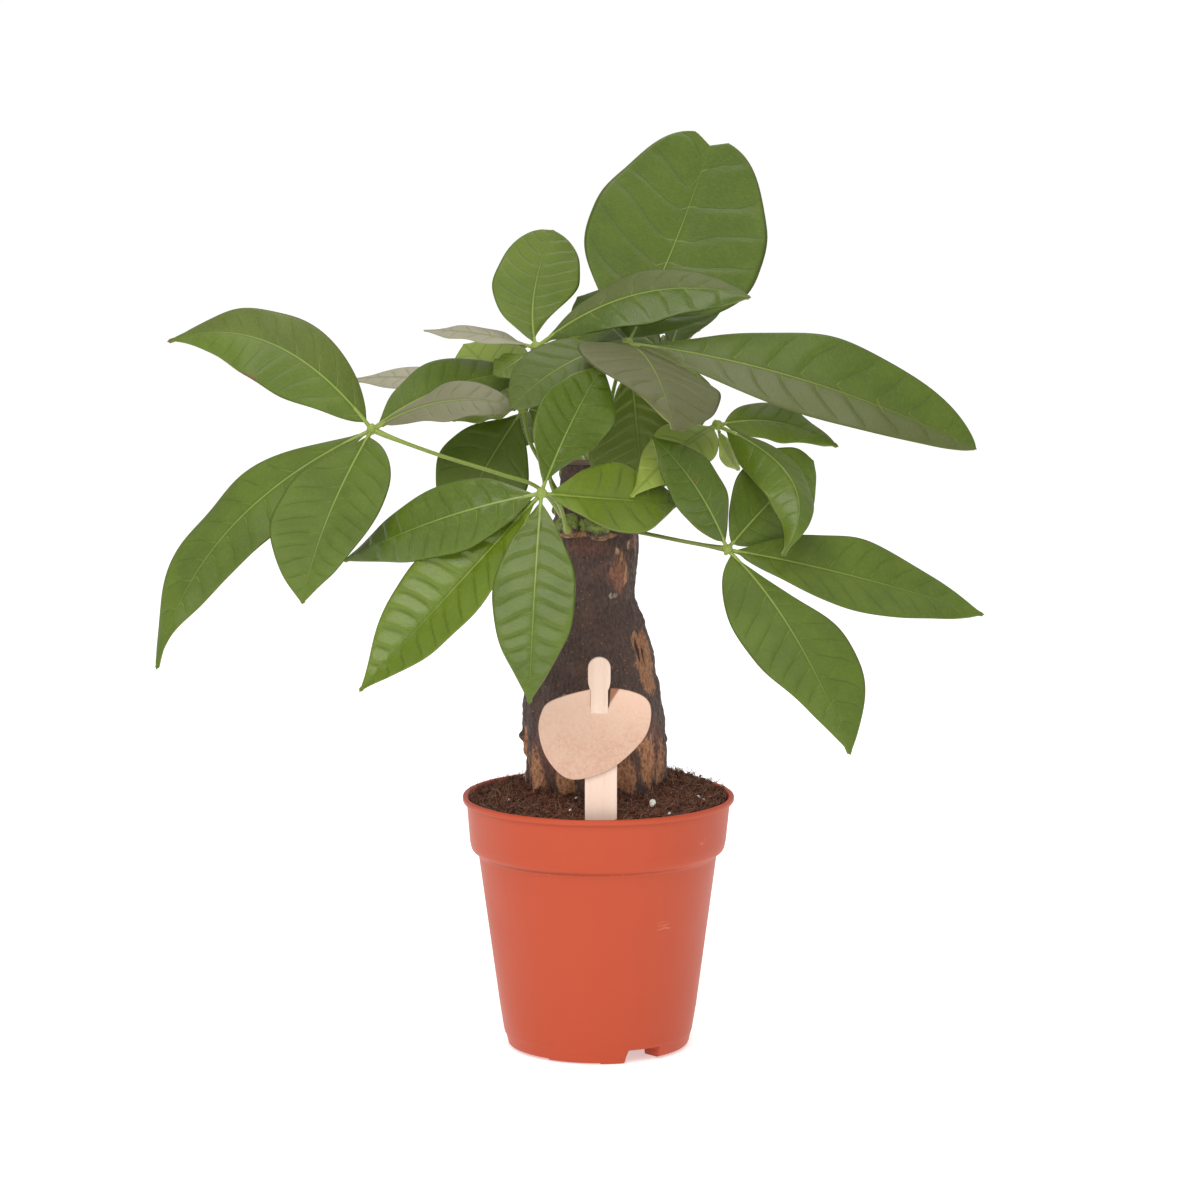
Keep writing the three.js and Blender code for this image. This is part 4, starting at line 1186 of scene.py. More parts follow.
# Each frond: its petiole's route from inside the trunk to the hub, and its leaflets. A leaflet's midrib bows
# from the hub through mid to tip, and a pair holds the left half's and the right half's measure.
fronds = {
    "frond_left": {
        "route": [
            (-11, -13, 233),
            (-25, -22, 252),
            (-42, -25, 259),
            (-68, -24, 267),
            (-88, -22, 274),
            (-98, -20, 278),
        ],
        "leaves": [
            dict(
                mid=(-141, -18, 315), tip=(-187, -8, 315), width=37, turn=27, fold=-13, widest=0.42,
                base=0.85, point=1.1, wave=1.1, dusty=(0, 0.35), tone=0.68, matt=0.8, pairs=11,
                slant=0.8,
                spots=[
                    (0.49, -1, 1.4),
                    (0.52, -1, 1.8),
                    (0.56, -1.02, 1.6),
                    (0.6, -1.02, 1.1),
                    (0.99, 0, 0.9),
                ],
            ),
            dict(
                mid=(-160, -28, 235), tip=(-191, -40, 176), width=37, turn=42, fold=-2, widest=0.45,
                point=(1.6, 0.8), wave=1.7, pairs=12, quilt=0.6, tone=0.6,
            ),
            dict(
                mid=(-116, -52, 243), tip=(-126, -68, 209), width=46, turn=18, fold=15,
                widest=(0.36, 0.52), base=0.85, matt=1.5, pairs=11, slant=0.5, quilt=0.8,
            ),
            dict(mid=(-67, -2, 294), tip=(-31, 14, 299), width=31, turn=-43),
            dict(
                mid=(-66, -28, 291), tip=(-36, -26, 288), width=26, turn=-57, widest=(0.6, 0.5),
                point=0.65, dusty=1.3,
            ),
        ],
    },
    "frond_front": {
        "footSwelling": 2.0,
        "route": [(-13, -15, 233), (-14, -26, 237), (-17, -45, 249), (-24, -72, 257)],
        "leaves": [
            dict(
                mid=(-67, -65, 245), tip=(-110, -35, 222.5), width=32, turn=26, fold=-10, widest=0.45,
                quilt=1.0, matt=0.3, tone=0.35, pairs=11, slant=0.5,
            ),
            dict(
                mid=(-66, -66, 210), tip=(-102, -62, 170), width=41.5, turn=30, fold=(24, 12), curl=0.0,
                widest=0.46, point=1.05, quilt=1.8, matt=0.0, pairs=12, slant=0.35, tone=0.8,
            ),
            dict(
                mid=(-27, -86, 213), tip=(-29, -92, 170), width=35.8, turn=7, fold=4, curl=0.6,
                widest=0.47, point=1.05, quilt=1.25, matt=0.45, pairs=11, slant=0.4, tone=0.35,
            ),
            dict(
                mid=(-12, -58, 284), tip=(2, -50, 309), width=34, turn=12, fold=8, widest=(0.5, 0.6),
                matt=0.15, tone=0.3, pairs=8, quilt=0.45,
            ),
            dict(
                mid=(8, -55, 252), tip=(37, -32, 247.4), width=34, turn=-28, fold=(2, 17),
                point=(0.95, 1.3), quilt=0.5, tone=0.6, youth=0.15, matt=0.0, pairs=7, slant=0.45,
            ),
        ],
    },
    "frond_right": {
        "footSwelling": 1.9,
        "petioleTone": 0.1,
        "route": [(0, -16, 234), (1, -22, 236), (18, -28, 234), (36, -33, 231), (56, -38, 228)],
        "leaves": [
            dict(
                mid=(110, -28, 215), tip=(169, -10, 195), width=39, turn=-46, fold=8, pairs=11,
                quilt=0.5, matt=1.2, slant=0.8,
            ),
            dict(
                mid=(84, -58, 194), tip=(108, -70, 144), width=44, turn=-24, fold=-3, widest=(0.66, 0.4),
                base=(1, 0.8), point=(0.95, 1.15), matt=1.5, quilt=0.45, tone=0.4, pairs=11, slant=0.7,
            ),
            dict(
                mid=(41.5, -46, 257), tip=(23, -48, 278), width=25, turn=27, fold=4, widest=0.45,
                base=0.75, tone=0.25, matt=0.1,
                spots=[(0.47, 0.06, 0.7), (0.5, 0.08, 0.8), (0.53, 0.1, 0.6)],
            ),
            dict(mid=(75, -22, 247), tip=(94, -4, 262), width=38, turn=10, fold=0, base=0.75, point=0.45),
        ],
    },
    "frond_inner_right": {
        "route": [(3, 8, 240), (20, 4, 254), (38, -6, 270), (52, -12, 279)],
        "leaves": [
            dict(mid=(79, -5, 279), tip=(105, 0, 268), width=22, turn=-48, widest=0.42, base=0.8, tone=0.8),
            dict(
                mid=(84, -40, 257), tip=(79, -51, 227), width=28, turn=-41, fold=(-20, -28), widest=0.42,
                base=0.9, point=(1.4, 1.1), quilt=0.3, matt=(1.3, 0.1), wave=1.8, waves=1.6,
            ),
            dict(
                mid=(34, -33, 269.8), tip=(14, -51, 252.4), width=28, turn=35, widest=0.4, point=1.1,
                youth=0.6,
            ),
            dict(mid=(57, -4, 266), tip=(62, 6, 257), width=9, turn=-20, youth=0.9),
        ],
    },
    "frond_upper_left": {
        "route": [(-14, 6, 240), (-20, 3, 250), (-22, 4, 262), (-23, 5, 280), (-27, -2, 312)],
        "leaves": [
            dict(
                mid=(-28, 18, 334), tip=(-20, 44, 359), width=37.5, turn=0, widest=(0.5, 0.62), base=1.0,
                point=0.42, pairs=10, quilt=0.6,
            ),
            dict(
                mid=(18, -10, 336), tip=(66, -16, 335), width=(29, 29.5), turn=-45, fold=-8, point=0.85,
                tone=0.15, dusty=(0.5, 0.0), quilt=0.5, pairs=8, curl=1.4, matt=(1.4, 0.2),
            ),
            dict(mid=(-52, 4, 317), tip=(-76, 10, 318), width=20, turn=76, dusty=1.55),
            dict(mid=(-11, 6, 308), tip=(4, 13, 305), width=20, turn=-40, youth=0.7),
            dict(mid=(-36, -9, 306), tip=(-45, -13, 301), width=22, turn=60, point=0.6),
        ],
    },
    "frond_top": {
        "route": [(1, 1, 241), (2, -2, 262), (4.4, -2, 278), (7.2, -3, 295), (13, -5, 314)],
        "leaves": [
            dict(
                mid=(32.5, 32, 351), tip=(50, 70, 395), width=80, turn=0, fold=4, widest=(0.48, 0.54),
                base=(0.75, 0.88), point=(0.46, 0.42), notch=6, tone=0.15, pairs=7, quilt=0.7, slant=0.5,
                matt=0.7,
            ),
            dict(
                mid=(90, -8, 298), tip=(166, 6, 266), width=47, turn=-42, fold=18, widest=(0.58, 0.5),
                point=(0.6, 0.8), tone=0.2, dusty=(0.1, 0.6), pairs=10, quilt=0.7, matt=0.8,
            ),
            dict(
                mid=(24, -50, 307), tip=(32, -82, 285), width=62, turn=-50, fold=-4, widest=(0.5, 0.36),
                base=(1.1, 0.8), point=(0.6, 1.5), tone=0.1, dusty=0.9, pairs=7, quilt=0.6,
            ),
            dict(mid=(1, 29, 322), tip=(-9, 47, 329), width=28, turn=14, point=0.65),
            dict(
                mid=(-14, -28, 307), tip=(-37, -42, 290), width=34.5, turn=48, fold=4, point=0.6,
                tone=0.0, dusty=0.2, pairs=8, quilt=0.6,
            ),
            dict(
                mid=(17, -12, 278), tip=(20, -9, 246), width=45, turn=0, widest=0.65, tone=1.0,
                dusty=0.45, pairs=12, quilt=1.1,
            ),
        ],
    },
    "frond_back_left": {
        "route": [(-14, 7, 240), (-22, 12, 254), (-30, 18, 268), (-33, 22, 282)],
        "leaves": [
            dict(mid=(-50, 16, 256), tip=(-65, 10, 228), width=42, turn=10, tone=0.5, pairs=7),
            dict(mid=(-48, 16, 283), tip=(-64, 12, 278), width=18, turn=60, youth=0.6),
            dict(mid=(-21, 19, 279), tip=(-7, 15, 269), width=28, turn=-30),
            dict(mid=(-71, 34, 293), tip=(-113, 46, 292), width=22, turn=65, dusty=1.6),
            dict(mid=(-47, 40, 296), tip=(-60, 56, 307), width=38, turn=20, point=0.7, youth=0.4),
        ],
    },
    "frond_back_right": {
        "route": [(5, 11, 240), (4, 20, 260), (7.5, 30, 284), (12.5, 38, 294), (22, 46, 300), (31, 50, 303)],
        "leaves": [
            dict(mid=(73, 75, 295), tip=(114, 82, 282), width=30, turn=-60),
            dict(mid=(42, 84, 329), tip=(49, 112, 349), width=34, turn=0),
            dict(mid=(30, 98, 306), tip=(34, 132, 292), width=34, turn=0),
            dict(mid=(11, 74, 314), tip=(-6, 92, 315), width=28, turn=40),
            dict(mid=(39, 66, 283), tip=(42, 72, 264), width=26, turn=180),
        ],
    },
    "frond_back_low": {
        "route": [(3, 10, 239), (0, 24, 248), (-6, 40, 260), (-9, 52, 268)],
        "leaves": [
            dict(mid=(-5, 74, 248), tip=(1, 80, 231), width=26, turn=180),
            dict(mid=(-35, 70, 267), tip=(-54, 78, 256), width=26, turn=60),
            dict(mid=(11, 66, 256), tip=(23, 70, 245), width=24, turn=-60),
            dict(mid=(-14, 74, 282), tip=(-17, 92, 291), width=24, turn=0),
            dict(mid=(-13, 92, 267), tip=(-15, 118, 256), width=30, turn=0),
        ],
    },
}


def unit(v):
    # v divided by its length
    return v / np.linalg.norm(v, axis=-1, keepdims=True)


def turned(v, axis, angle):
    # v turned about a unit axis by angle, both of which may be arrays
    angle = np.asarray(angle)[..., None]
    along = (v * axis).sum(axis=-1, keepdims=True) * axis
    return along + (v - along) * np.cos(angle) + np.cross(axis, v) * np.sin(angle)


def pickHalf(measure, sign):
    # one value for both halves, or a pair for the left and the right
    left, right = measure if isinstance(measure, tuple) else (measure, measure)
    return np.where(sign < 0, left, right)


def halfShare(s, sign, leaf):
    # a half's reach from the midrib, as a share of its greatest: a sine arch whose crest is moved to widest,
    # and whose ends are drawn out or made blunt by their powers
    widest = pickHalf(leaf["widest"], sign)
    arch = np.sin(np.pi * np.clip(s, 0, 1) ** (np.log(0.5) / np.log(widest)))
    power = np.where(s < widest, pickHalf(leaf["base"], sign), pickHalf(leaf["point"], sign))
    return np.maximum(arch, 0) ** power


def leafSkeleton(hub, leaf, t):
    # the midrib at shares t of a quadratic bow from the hub through mid to tip, and the way that is up there
    start, middle, end = (np.array(p, float) for p in (hub, leaf["mid"], leaf["tip"]))
    bow = 2 * middle - (start + end) / 2
    t = t[:, None]
    line = (1 - t) ** 2 * start + 2 * t * (1 - t) * bow + t**2 * end
    tangent = unit(2 * (1 - t) * (bow - start) + 2 * t * (end - bow))
    chord = unit(end - start)
    front = np.array([0.0, -1, 0])
    facing = turned(unit(front - (front @ chord) * chord), chord, math.radians(leaf["turn"]))
    up = unit(facing - (tangent * facing).sum(axis=-1, keepdims=True) * tangent)
    fine = np.linspace(0, 1, 60)[:, None]
    arc = (1 - fine) ** 2 * start + 2 * fine * (1 - fine) * bow + fine**2 * end
    length = np.linalg.norm(np.diff(arc, axis=0), axis=1).sum()
    return line, tangent, up, length


def makeLeaflet(hub, leaf, seed):
    # points, quads and fields of one leaflet: an upper and a lower skin that meet round the margin
    b = blade
    rng = np.random.default_rng(seed)
    lengthOnly = leafSkeleton(hub, leaf, np.array([0.0, 1.0]))[3]
    stalk = b["stalk"] / lengthOnly
    s = np.linspace(0, 1, b["rows"]) ** 0.95
    line, tangent, up, length = leafSkeleton(hub, leaf, stalk + (1 - stalk) * s)
    up = turned(up, tangent, np.radians(leaf["twist"] * (s - 0.5)))
    right = np.cross(tangent, up)
    side = np.linspace(-1, 1, 2 * b["halfColumns"] + 1)
    side = np.sign(side) * np.abs(side) ** 0.85
    grid, across = np.meshgrid(s, side, indexing="ij")
    sign = np.where(across < 0, -1, 1)
    share = np.abs(across)
    least = np.where(grid < 0.02, b["stalkRadius"] * (1 - grid * 30), b["tipHalf"])
    half = np.maximum(pickHalf(leaf["width"], sign) / 2 * halfShare(grid, sign, leaf), least)
    # the blade ends in a blunt, rounded tip
    fromTip = np.clip((1 - grid) * length / b["tipRound"], 0, 1)
    half = np.maximum(half, b["tipRound"] * np.sqrt(1 - (1 - fromTip) ** 2) * (grid > 0.5))
    # the margin is never quite even
    half = half + 0.28 * np.sin(21 * grid + 2.1 * sign + seed) * smoothStep(half, 3, 12)
    grown = np.minimum(1, half / 3)
    phase = 2 * np.pi * (leaf["waves"] * grid + b["wavePhase"]) + b["sideLag"] * sign
    count = leaf["pairs"] or max(6, length / b["veinStep"])
    small = 2 * np.pi * (count * 0.42 * grid + rng.uniform(0, 1)) + 1.3 * sign
    wave = leaf["wave"] * np.sin(phase) + 0.14 * np.sin(small)
    fold = np.radians(pickHalf(leaf["fold"], sign))
    rise = half * share * np.sin(fold) + grown * share**2 * (wave - leaf["curl"])
    # side veins leave the midrib at uneven steps, waver, and bend towards the tip
    own = np.random.default_rng(seed + 700)
    shift = own.uniform(0, 2 * np.pi, (3, 2))
    shift = np.where(sign[None] < 0, shift[:, 0, None, None], shift[:, 1, None, None])
    slant = half / length * leaf["slant"] * (0.75 * share + 0.25 * share**2)
    start = rng.uniform(0, 1) + np.where(sign < 0, 0.42, 0)
    uneven = 0.13 * np.sin(9 * grid + shift[0]) + 0.06 * np.sin(23 * grid + shift[1])
    waver = 0.1 * np.sin(5 * share + 8 * grid + shift[2]) * share
    veins = count * (grid - slant) + start + uneven + waver
    # between two side veins the blade swells like a shingle: slowly from the one, steeply down to the next
    body = smoothStep(share, 0.02, 0.2) * (1 - smoothStep(share, 0.74, 1.0)) * smoothStep(half, 1.5, 8)
    cell = veins % 1
    ramp = np.where(cell < 0.78, (cell / 0.78) ** 1.15, (1 - cell) / 0.22)
    swell = (0.5 - np.sqrt((1 - ramp) ** 2 + 0.02)) * leaf["quilt"] * body
    ribHalf = 0.5 * (1 - grid) ** 0.85 + 0.08
    reach = half * share
    groove = -0.28 * np.exp(-((reach / (1.6 * ribHalf)) ** 2)) * (1 - grid)
    rise = rise + swell + groove
    skin = line[:, None] + right[:, None] * (sign * reach * np.cos(fold))[..., None]
    skin += up[:, None] * rise[..., None]
    lobes = np.minimum(reach / 8, 1) * smoothStep(grid, b["notchFrom"], 1)
    skin += tangent[:, None] * (leaf["notch"] * lobes)[..., None]
    # the tip runs out into a short drip point, unless it is notched
    drip = b["tipPull"] * np.exp(-(((1 - grid) / 0.02) ** 2)) * (1 - share) * (leaf["notch"] == 0)
    skin += tangent[:, None] * drip[..., None]
    thin = b["thickness"] / 2 * np.where(share > 0.999, 0.0, 1.0)
    # below, the midrib stands out as a soft ridge
    rib = (1.25 * (1 - grid) ** 0.9 + 0.15) * np.exp(-((reach / (1.5 * ribHalf)) ** 2))
    above = skin + up[:, None] * thin[..., None]
    below = skin - up[:, None] * (thin + rib * np.where(share > 0.999, 0, 1))[..., None]
    rows, columns = grid.shape
    inside = np.arange(rows * columns).reshape(rows, columns)
    lower = np.full((rows, columns), -1)
    lower[1:-1, 1:-1] = rows * columns + np.arange((rows - 2) * (columns - 2)).reshape(rows - 2, columns - 2)
    lower = np.where(lower < 0, inside, lower)
    topQuads = gridFaces(rows, columns)
    i, j = np.meshgrid(np.arange(rows - 1), np.arange(columns - 1), indexing="ij")
    corners = [lower[i, j], lower[i + 1, j], lower[i + 1, j + 1], lower[i, j + 1]]
    underQuads = np.stack(corners, axis=-1).reshape(-1, 4)
    # the stalk end of the blade is drawn into the stalk, and the tip row is nearly a point
    points = np.concatenate([above.reshape(-1, 3), below[1:-1, 1:-1].reshape(-1, 3)])

    def field(values):
        # both skins share the values, and the margin's points are counted once
        return np.concatenate([values.ravel(), values[1:-1, 1:-1].ravel()])

    underside = np.concatenate([np.zeros(rows * columns), np.ones((rows - 2) * (columns - 2))])
    away = np.stack([grid * length, across * half, np.full(grid.shape, rng.uniform(0, 500))], axis=-1)
    leafPlace = np.concatenate([away.reshape(-1, 3), away[1:-1, 1:-1].reshape(-1, 3)]) * mm
    tone = np.clip(leaf["tone"] + rng.uniform(-0.12, 0.12), 0, 1)
    # near the midrib both halves have the same painted sheen
    offRib = np.clip(share * 6, 0, 1)
    dusty = pickHalf(leaf["dusty"], sign) * offRib + np.mean(leaf["dusty"]) * (1 - offRib)
    spots = np.zeros(grid.shape)
    for at, aside, size in leaf["spots"]:
        gap = ((grid - at) * length) ** 2 + ((across - aside) * half) ** 2
        spots = np.maximum(spots, np.exp(-gap / size**2))
    fields = {
        "veins": field(veins),
        "ribShare": field(reach / ribHalf),
        "rimDistance": field((1 - share) * half),
        "along": field(grid),
        "tone": np.full(len(points), tone),
        "youth": np.full(len(points), leaf["youth"]),
        "matt": field(pickHalf(leaf["matt"], sign) * 1.0),
        "dusty": field(dusty),
        "spots": field(spots),
        "underside": underside,
        "leafPlace": leafPlace,
        "stalk": np.zeros(len(points)),
    }
    return points, np.concatenate([topQuads, underQuads]), fields


def sweep(line, radii, sides):
    # a round tube along a line of points, closed at both ends, with its section carried without twisting
    tangent = unit(np.gradient(line, axis=0))
    side = unit(np.cross(tangent, np.array([0.31, -0.9, 0.3])))
    up = np.cross(side, tangent)
    angle = np.linspace(0, 2 * np.pi, sides, endpoint=False)[None, :, None]
    outward = side[:, None] * np.cos(angle) + up[:, None] * np.sin(angle)
    rings = line[:, None] + radii[:, None, None] * outward
    points = rings.reshape(-1, 3)
    quads = gridFaces(len(line), sides, closed=True)
    points = np.concatenate([points, line[:1], line[-1:]])
    first, last = len(points) - 2, len(points) - 1
    ring = np.arange(sides)
    after = (ring + 1) % sides
    end = (len(line) - 1) * sides
    none = np.full(sides, -1)
    foot = np.stack([np.full(sides, first), after, ring, none], axis=-1)
    head = np.stack([np.full(sides, last), end + ring, end + after, none], axis=-1)
    return points, np.concatenate([quads, foot, head])


def openCurve(points, count):
    # a smooth line through the points, evenly spaced along its length
    p = np.array(points, float)
    p = np.concatenate([2 * p[:1] - p[1:2], p, 2 * p[-1:] - p[-2:-1]])
    t = np.linspace(0, 1, 40, endpoint=False)[None, :, None]
    p0, p1, p2, p3 = (p[k : len(p) - 3 + k][:, None] for k in range(4))
    curve = np.concatenate([throughPoints(p0, p1, p2, p3, t).reshape(-1, 3), p[-2:-1]])
    run = np.concatenate([[0], np.cumsum(np.linalg.norm(np.diff(curve, axis=0), axis=1))])
    even = np.linspace(0, run[-1], count)
    return np.stack([np.interp(even, run, curve[:, k]) for k in range(3)], axis=-1)


def stalkFields(points, where, tone=0.5, youth=0.3):
    # a stalk has no veins; where is 1 at a petiole's foot, 0.5 along it and a little less on hub and stalks
    count = len(points)
    bare = ("veins", "rimDistance", "along", "underside", "dusty", "spots")
    fields = {name: np.zeros(count) for name in bare}
    fields["ribShare"] = np.full(count, 9.0)
    fields["tone"] = np.full(count, tone)
    fields["matt"] = np.full(count, 0.6)
    fields["youth"] = np.full(count, youth)
    fields["leafPlace"] = points * mm
    fields["stalk"] = np.asarray(where, float)
    return fields


def makeFrond(name, frond, seed):
    # petiole, hub, leaflet stalks and leaflets, each a closed skin, in one mesh
    p = petiole
    line = openCurve(frond["route"], p["steps"])
    t = np.linspace(0, 1, p["steps"])
    foot = np.exp(-((t / p["footReach"]) ** 2)) * frond.get("footSwelling", 1)
    knee = np.exp(-(((1 - t) / p["kneeReach"]) ** 2))
    radii = p["radius"] + p["swelling"] * (foot + 0.6 * knee)
    tube, quads = sweep(line, radii, p["sides"])
    where = np.concatenate([np.repeat(0.5 + 0.5 * np.minimum(foot, 1), p["sides"]), [1, 0.5]])
    parts = [(tube, quads, stalkFields(tube, where, frond.get("petioleTone", 0.5)))]
    hub = np.array(frond["route"][-1], float)
    rows, columns = 14, 20
    ball = unitBall(rows, columns)
    knob = hub + ball * (p["hubRadius"] * 0.8 + 0.2 * ripples(ball, (1.1, 1.1, 1.1), seed))[:, None]
    knobQuads = gridFaces(rows, columns, closed=True)[:, ::-1]
    parts.append((knob, knobQuads, stalkFields(knob, np.full(len(knob), 0.4))))
    for number, own in enumerate(frond["leaves"]):
        leaf = {**plainLeaf, **own}
        parts.append(makeLeaflet(hub, leaf, seed * 10 + number))
        reach = np.linspace(0, 2.6 * blade["stalk"] / 100, 10)
        stalkLine, tangent, up, length = leafSkeleton(hub, leaf, reach)
        radius = blade["stalkRadius"] * (1.25 - 0.3 * np.linspace(0, 1, 10))
        stalkTube, stalkQuads = sweep(stalkLine - up * 0.45, radius, 10)
        parts.append((stalkTube, stalkQuads, stalkFields(stalkTube, np.full(len(stalkTube), 0.35))))
    points, quads, fields = [], [], {}
    start = 0
    for places, faces, own in parts:
        points.append(places)
        quads.append(np.where(faces < 0, -1, faces + start))
        start += len(places)
        for field, values in own.items():
            fields.setdefault(field, []).append(values)
    fields = {field: np.concatenate(values) for field, values in fields.items()}
    first, *others = name.split("_")
    title = first + "".join(word.capitalize() for word in others)
    piece = makePiece(title, np.concatenate(points), np.concatenate(quads), [leafSkin], fields)
    settle(piece, "leaf", name)


foliage = {
    "mature": "#506411",
    "deep": "#41540d",
    "light": "#71881f",
    # young leaves' yellow-green, also used as a painted glow of light shining through backlit blades
    "young": "#9bae4e",
    "vein": "#7c8f35",
    # painted shade in side veins away from the midrib
    "sunkenVeinShade": "#35460c",
    "under": "#68793a",
    "stalk": "#82943f",
    "stalkFoot": "#8f9c52",
    "edge": "#8a8a4a",
    "roughness": 0.29,
    "bloom": "#b79c98",
    # grey sheen painted where light grazes a blade: a dull tint, and a pale one where it is strongest
    "dust": "#525331",
    "paleSheen": "#b0aa99",
    "blemish": "#6a4c2b",
    "midrib": "#85973f",
    "underDeep": "#64783a",
    "underNet": "#8b9d58",
    "underVein": "#a7b272",
    "underRib": "#b4bb7c",
    "stalkFleck": "#6f8236",
    "stalkOlive": "#636a2c",
}


def makeLeafSkin():
    # waxy leathery leaf: satin cuticle over soft green, pale midrib and side veins, netted between them;
    # the underside is paler and matt, and stalks are smooth and yellow-green
    f = foliage
    material, tree, shader = newMaterial("waxyLeafCuticle")
    field = {}
    for name in "veins ribShare rimDistance along tone youth matt dusty spots underside stalk".split():
        field[name] = addNode(tree, "Attribute", attribute_name=name).outputs["Fac"]
    place = addNode(tree, "Attribute", attribute_name="leafPlace").outputs["Vector"]
    # clouds of 22 mm, a slow waver of 13 mm, and mottling of 2.4 mm
    clouds = {"Vector": place, "Scale": perMetre(22.2222), "Detail": 3.0}
    wavers = {"Vector": place, "Scale": perMetre(13.3333), "Detail": 1.0}
    mottles = {"Vector": place, "Scale": perMetre(2.38095), "Detail": 4.0, "Roughness": 0.65}
    cloud = addNode(tree, "TexNoise", clouds).outputs[0]
    wobble = addNode(tree, "TexNoise", wavers).outputs[0]
    mottle = addNode(tree, "TexNoise", mottles).outputs[0]
    # net veins, with meshes about two millimetres wide and three long
    bent = addNode(tree, "Mapping", {"Vector": place, "Scale": perMetre(2.08333, 3.0303, 1)}).outputs[0]
    shaken = addNode(tree, "TexNoise", {"Vector": bent, "Scale": 0.8, "Detail": 1.0}).outputs["Color"]
    mixed = addNode(tree, "Mix", {0: 0.25, 6: bent, 7: shaken}, data_type="RGBA", blend_type="ADD").outputs[2]
    meshes = {"Vector": mixed, "Scale": 1.0}
    net = addNode(tree, "TexVoronoi", meshes, feature="DISTANCE_TO_EDGE").outputs["Distance"]
    # side veins stand at whole numbers of the field, and waver; brown spots have ragged edges
    ends = {"Value": wobble, 1: 0.3, 2: 0.7, 3: -0.04, 4: 0.04}
    waver = addNode(tree, "MapRange", ends, interpolation_type="SMOOTHSTEP").outputs[0]
    wavering = addNode(tree, "Math", {0: field["veins"], 1: waver}, operation="ADD").outputs[0]
    veinAway = addNode(tree, "Math", {0: wavering, 1: 0.5}, operation="PINGPONG").outputs[0]
    ends = {"Value": mottle, 1: 0.3, 2: 0.7, 3: -0.2, 4: 0.2}
    ragged = addNode(tree, "MapRange", ends, interpolation_type="SMOOTHSTEP").outputs[0]
    dried = addNode(tree, "Math", {0: field["spots"], 1: ragged}, operation="ADD").outputs[0]
    # soft ramps: what is measured, where the ramp starts and ends, and its share at either end
    ramps = {
        "inBlade": (field["rimDistance"], 0.6, 5.0, 0.0, 1.0),
        "sideVein": (veinAway, 0.006, 0.04, 1.0, 0.0),
        # painted shade: the blade darkens in the trough beside each side vein
        "troughShade": (veinAway, 0.0, 0.13, 0.24, 0.0),
        "midrib": (field["ribShare"], 0.5, 0.95, 1.0, 0.0),
        "net": (net, 0.0, 0.09, 1.0, 0.0),
        "clouded": (cloud, 0.35, 0.65, 0.0, 0.6),
        "darker": (field["tone"], 0.5, 0.0, 0.0, 0.9),
        "lighter": (field["tone"], 0.5, 1.0, 0.0, 0.9),
        # painted sheen: where light grazes the blade it is painted grey, and at most whitened
        "dustedAndSheened": (field["dusty"], 0.0, 1.0, 0.0, 0.9),
        "whitened": (field["dusty"], 1.0, 2.0, 0.0, 0.9),
        "flecked": (mottle, 0.45, 0.7, 0.0, 0.06),
        "netted": (net, 0.0, 0.09, 0.07, 0.0),
        "besideRib": (field["ribShare"], 5.0, 22.0, 1.0, 0.0),
        # painted shade in the valley along the midrib
        "midribValleyShade": (field["ribShare"], 1.0, 4.5, 0.4, 0.0),
        "fading": (field["along"], 0.15, 0.95, 0.8, 0.25),
        "underClouded": (cloud, 0.35, 0.65, 0.0, 0.4),
        "underNetted": (net, 0.0, 0.09, 0.3, 0.0),
        "rim": (field["rimDistance"], 0.1, 0.4, 0.7, 0.0),
        "dryCloud": (cloud, 0.42, 0.6, 0.0, 1.0),
        "dried": (dried, 0.3, 0.6, 0.0, 1.0),
        "spotted": (field["spots"], 0.02, 0.15, 0.0, 1.0),
        "foot": (field["stalk"], 0.5, 1.0, 0.0, 1.0),
        "stalkFlecked": (mottle, 0.4, 0.7, 0.0, 0.3),
        "olive": (field["tone"], 0.5, 0.0, 0.0, 0.8),
        "onStalk": (field["stalk"], 0.05, 0.2, 0.0, 1.0),
        "gloss": (mottle, 0.3, 0.7, f["roughness"] - 0.03, f["roughness"] + 0.04),
    }
    # youth mixes in the young colour, which also paints light shining through backlit blades
    share = {"young": field["youth"], "below": field["underside"]}
    for name, (value, low, high, start, end) in ramps.items():
        ends = {"Value": value, 1: low, 2: high, 3: start, 4: end}
        share[name] = addNode(tree, "MapRange", ends, interpolation_type="SMOOTHSTEP").outputs[0]
    # shares that are products: veins stop short of the margin, and a dry line runs round it here and there
    products = [
        ("sideVein", "sideVein", "inBlade"),
        ("troughShade", "troughShade", "inBlade"),
        ("fadingRib", "midrib", "fading"),
        ("dryRim", "rim", "dryCloud"),
        ("brown", "dried", "spotted"),
    ]
    for name, first, second in products:
        factors = {0: share[first], 1: share[second]}
        share[name] = addNode(tree, "Math", factors, operation="MULTIPLY").outputs[0]
    for name, part in (("veined", 0.34), ("underVeined", 0.7)):
        share[name] = addNode(tree, "Math", {0: share["sideVein"], 1: part}, operation="MULTIPLY").outputs[0]
    tones = {name: hexColour(code) for name, code in f.items() if name != "roughness"}
    # a side vein is pale near the midrib, and further out is painted dark as shade in its sunken line
    layers = {0: share["besideRib"], 6: tones["sunkenVeinShade"], 7: tones["vein"]}
    tones["sideVein"] = addNode(tree, "Mix", layers, data_type="RGBA").outputs[2]
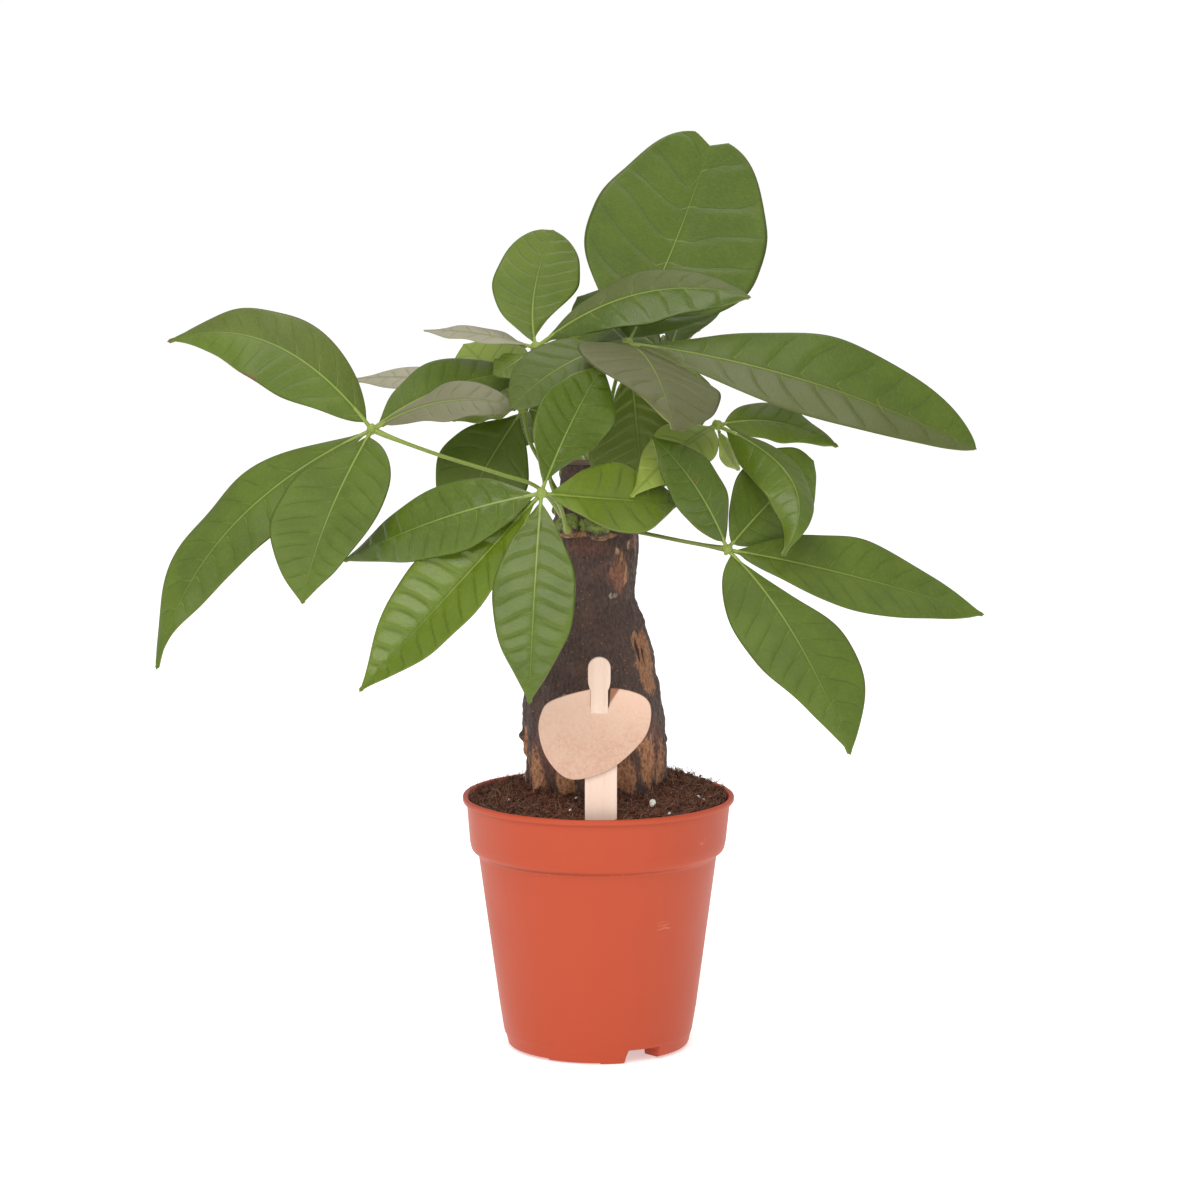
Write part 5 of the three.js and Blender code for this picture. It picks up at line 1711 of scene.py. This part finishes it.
    # coats of colour over the underside's, the stalk's and the upper side's own, each a share and its colour;
    # the upper side comes last, as the other two go over it
    coats = {
        "under": [
            ("underClouded", "underDeep"),
            ("underNetted", "underNet"),
            ("underVeined", "underVein"),
            ("midrib", "underRib"),
        ],
        "stalk": [("foot", "stalkFoot"), ("stalkFlecked", "stalkFleck"), ("olive", "stalkOlive")],
        "mature": [
            ("clouded", "deep"),
            ("darker", "deep"),
            ("lighter", "light"),
            ("young", "young"),
            ("dustedAndSheened", "dust"),
            ("whitened", "paleSheen"),
            ("flecked", "vein"),
            ("netted", "vein"),
            ("troughShade", "deep"),
            ("veined", "sideVein"),
            ("midribValleyShade", "deep"),
            ("fadingRib", "midrib"),
            ("below", "under"),
            ("dryRim", "edge"),
            ("brown", "blemish"),
            ("onStalk", "stalk"),
        ],
    }
    for ground, overs in coats.items():
        for name, over in overs:
            layers = {0: share[name], 6: tones[ground], 7: tones[over]}
            tones[ground] = addNode(tree, "Mix", layers, data_type="RGBA").outputs[2]
    # matt blades, undersides and side veins are rougher; veins are sunken and the midrib raised
    gloss, relief = share["gloss"], 0.0
    for value, weight in ((field["matt"], 0.2), (share["below"], 0.24), (share["sideVein"], 0.12)):
        part = addNode(tree, "Math", {0: value, 1: weight}, operation="MULTIPLY").outputs[0]
        gloss = addNode(tree, "Math", {0: gloss, 1: part}, operation="ADD").outputs[0]
    depths = [(share["net"], -0.35), (share["sideVein"], -1.0), (mottle, 0.25), (share["midrib"], 0.9)]
    for value, weight in depths:
        part = addNode(tree, "Math", {0: value, 1: weight}, operation="MULTIPLY").outputs[0]
        relief = addNode(tree, "Math", {0: relief, 1: part}, operation="ADD").outputs[0]
    bump = addNode(tree, "Bump", {"Height": relief, "Strength": 0.3, "Distance": 0.0003})
    tree.links.new(tones["mature"], shader.inputs["Base Color"])
    tree.links.new(gloss, shader.inputs["Roughness"])
    tree.links.new(bump.outputs[0], shader.inputs["Normal"])
    shader.inputs["Specular IOR Level"].default_value = 0.4
    # a faint waxy bloom that shows where the blade is seen edge on
    shader.inputs["Sheen Weight"].default_value = 0.05
    shader.inputs["Sheen Roughness"].default_value = 0.4
    shader.inputs["Sheen Tint"].default_value = tones["bloom"]
    return material


leafSkin = makeLeafSkin()
for seed, (name, frond) in enumerate(fronds.items(), 1):
    makeFrond(name, frond, seed)
print("the fronds are made")
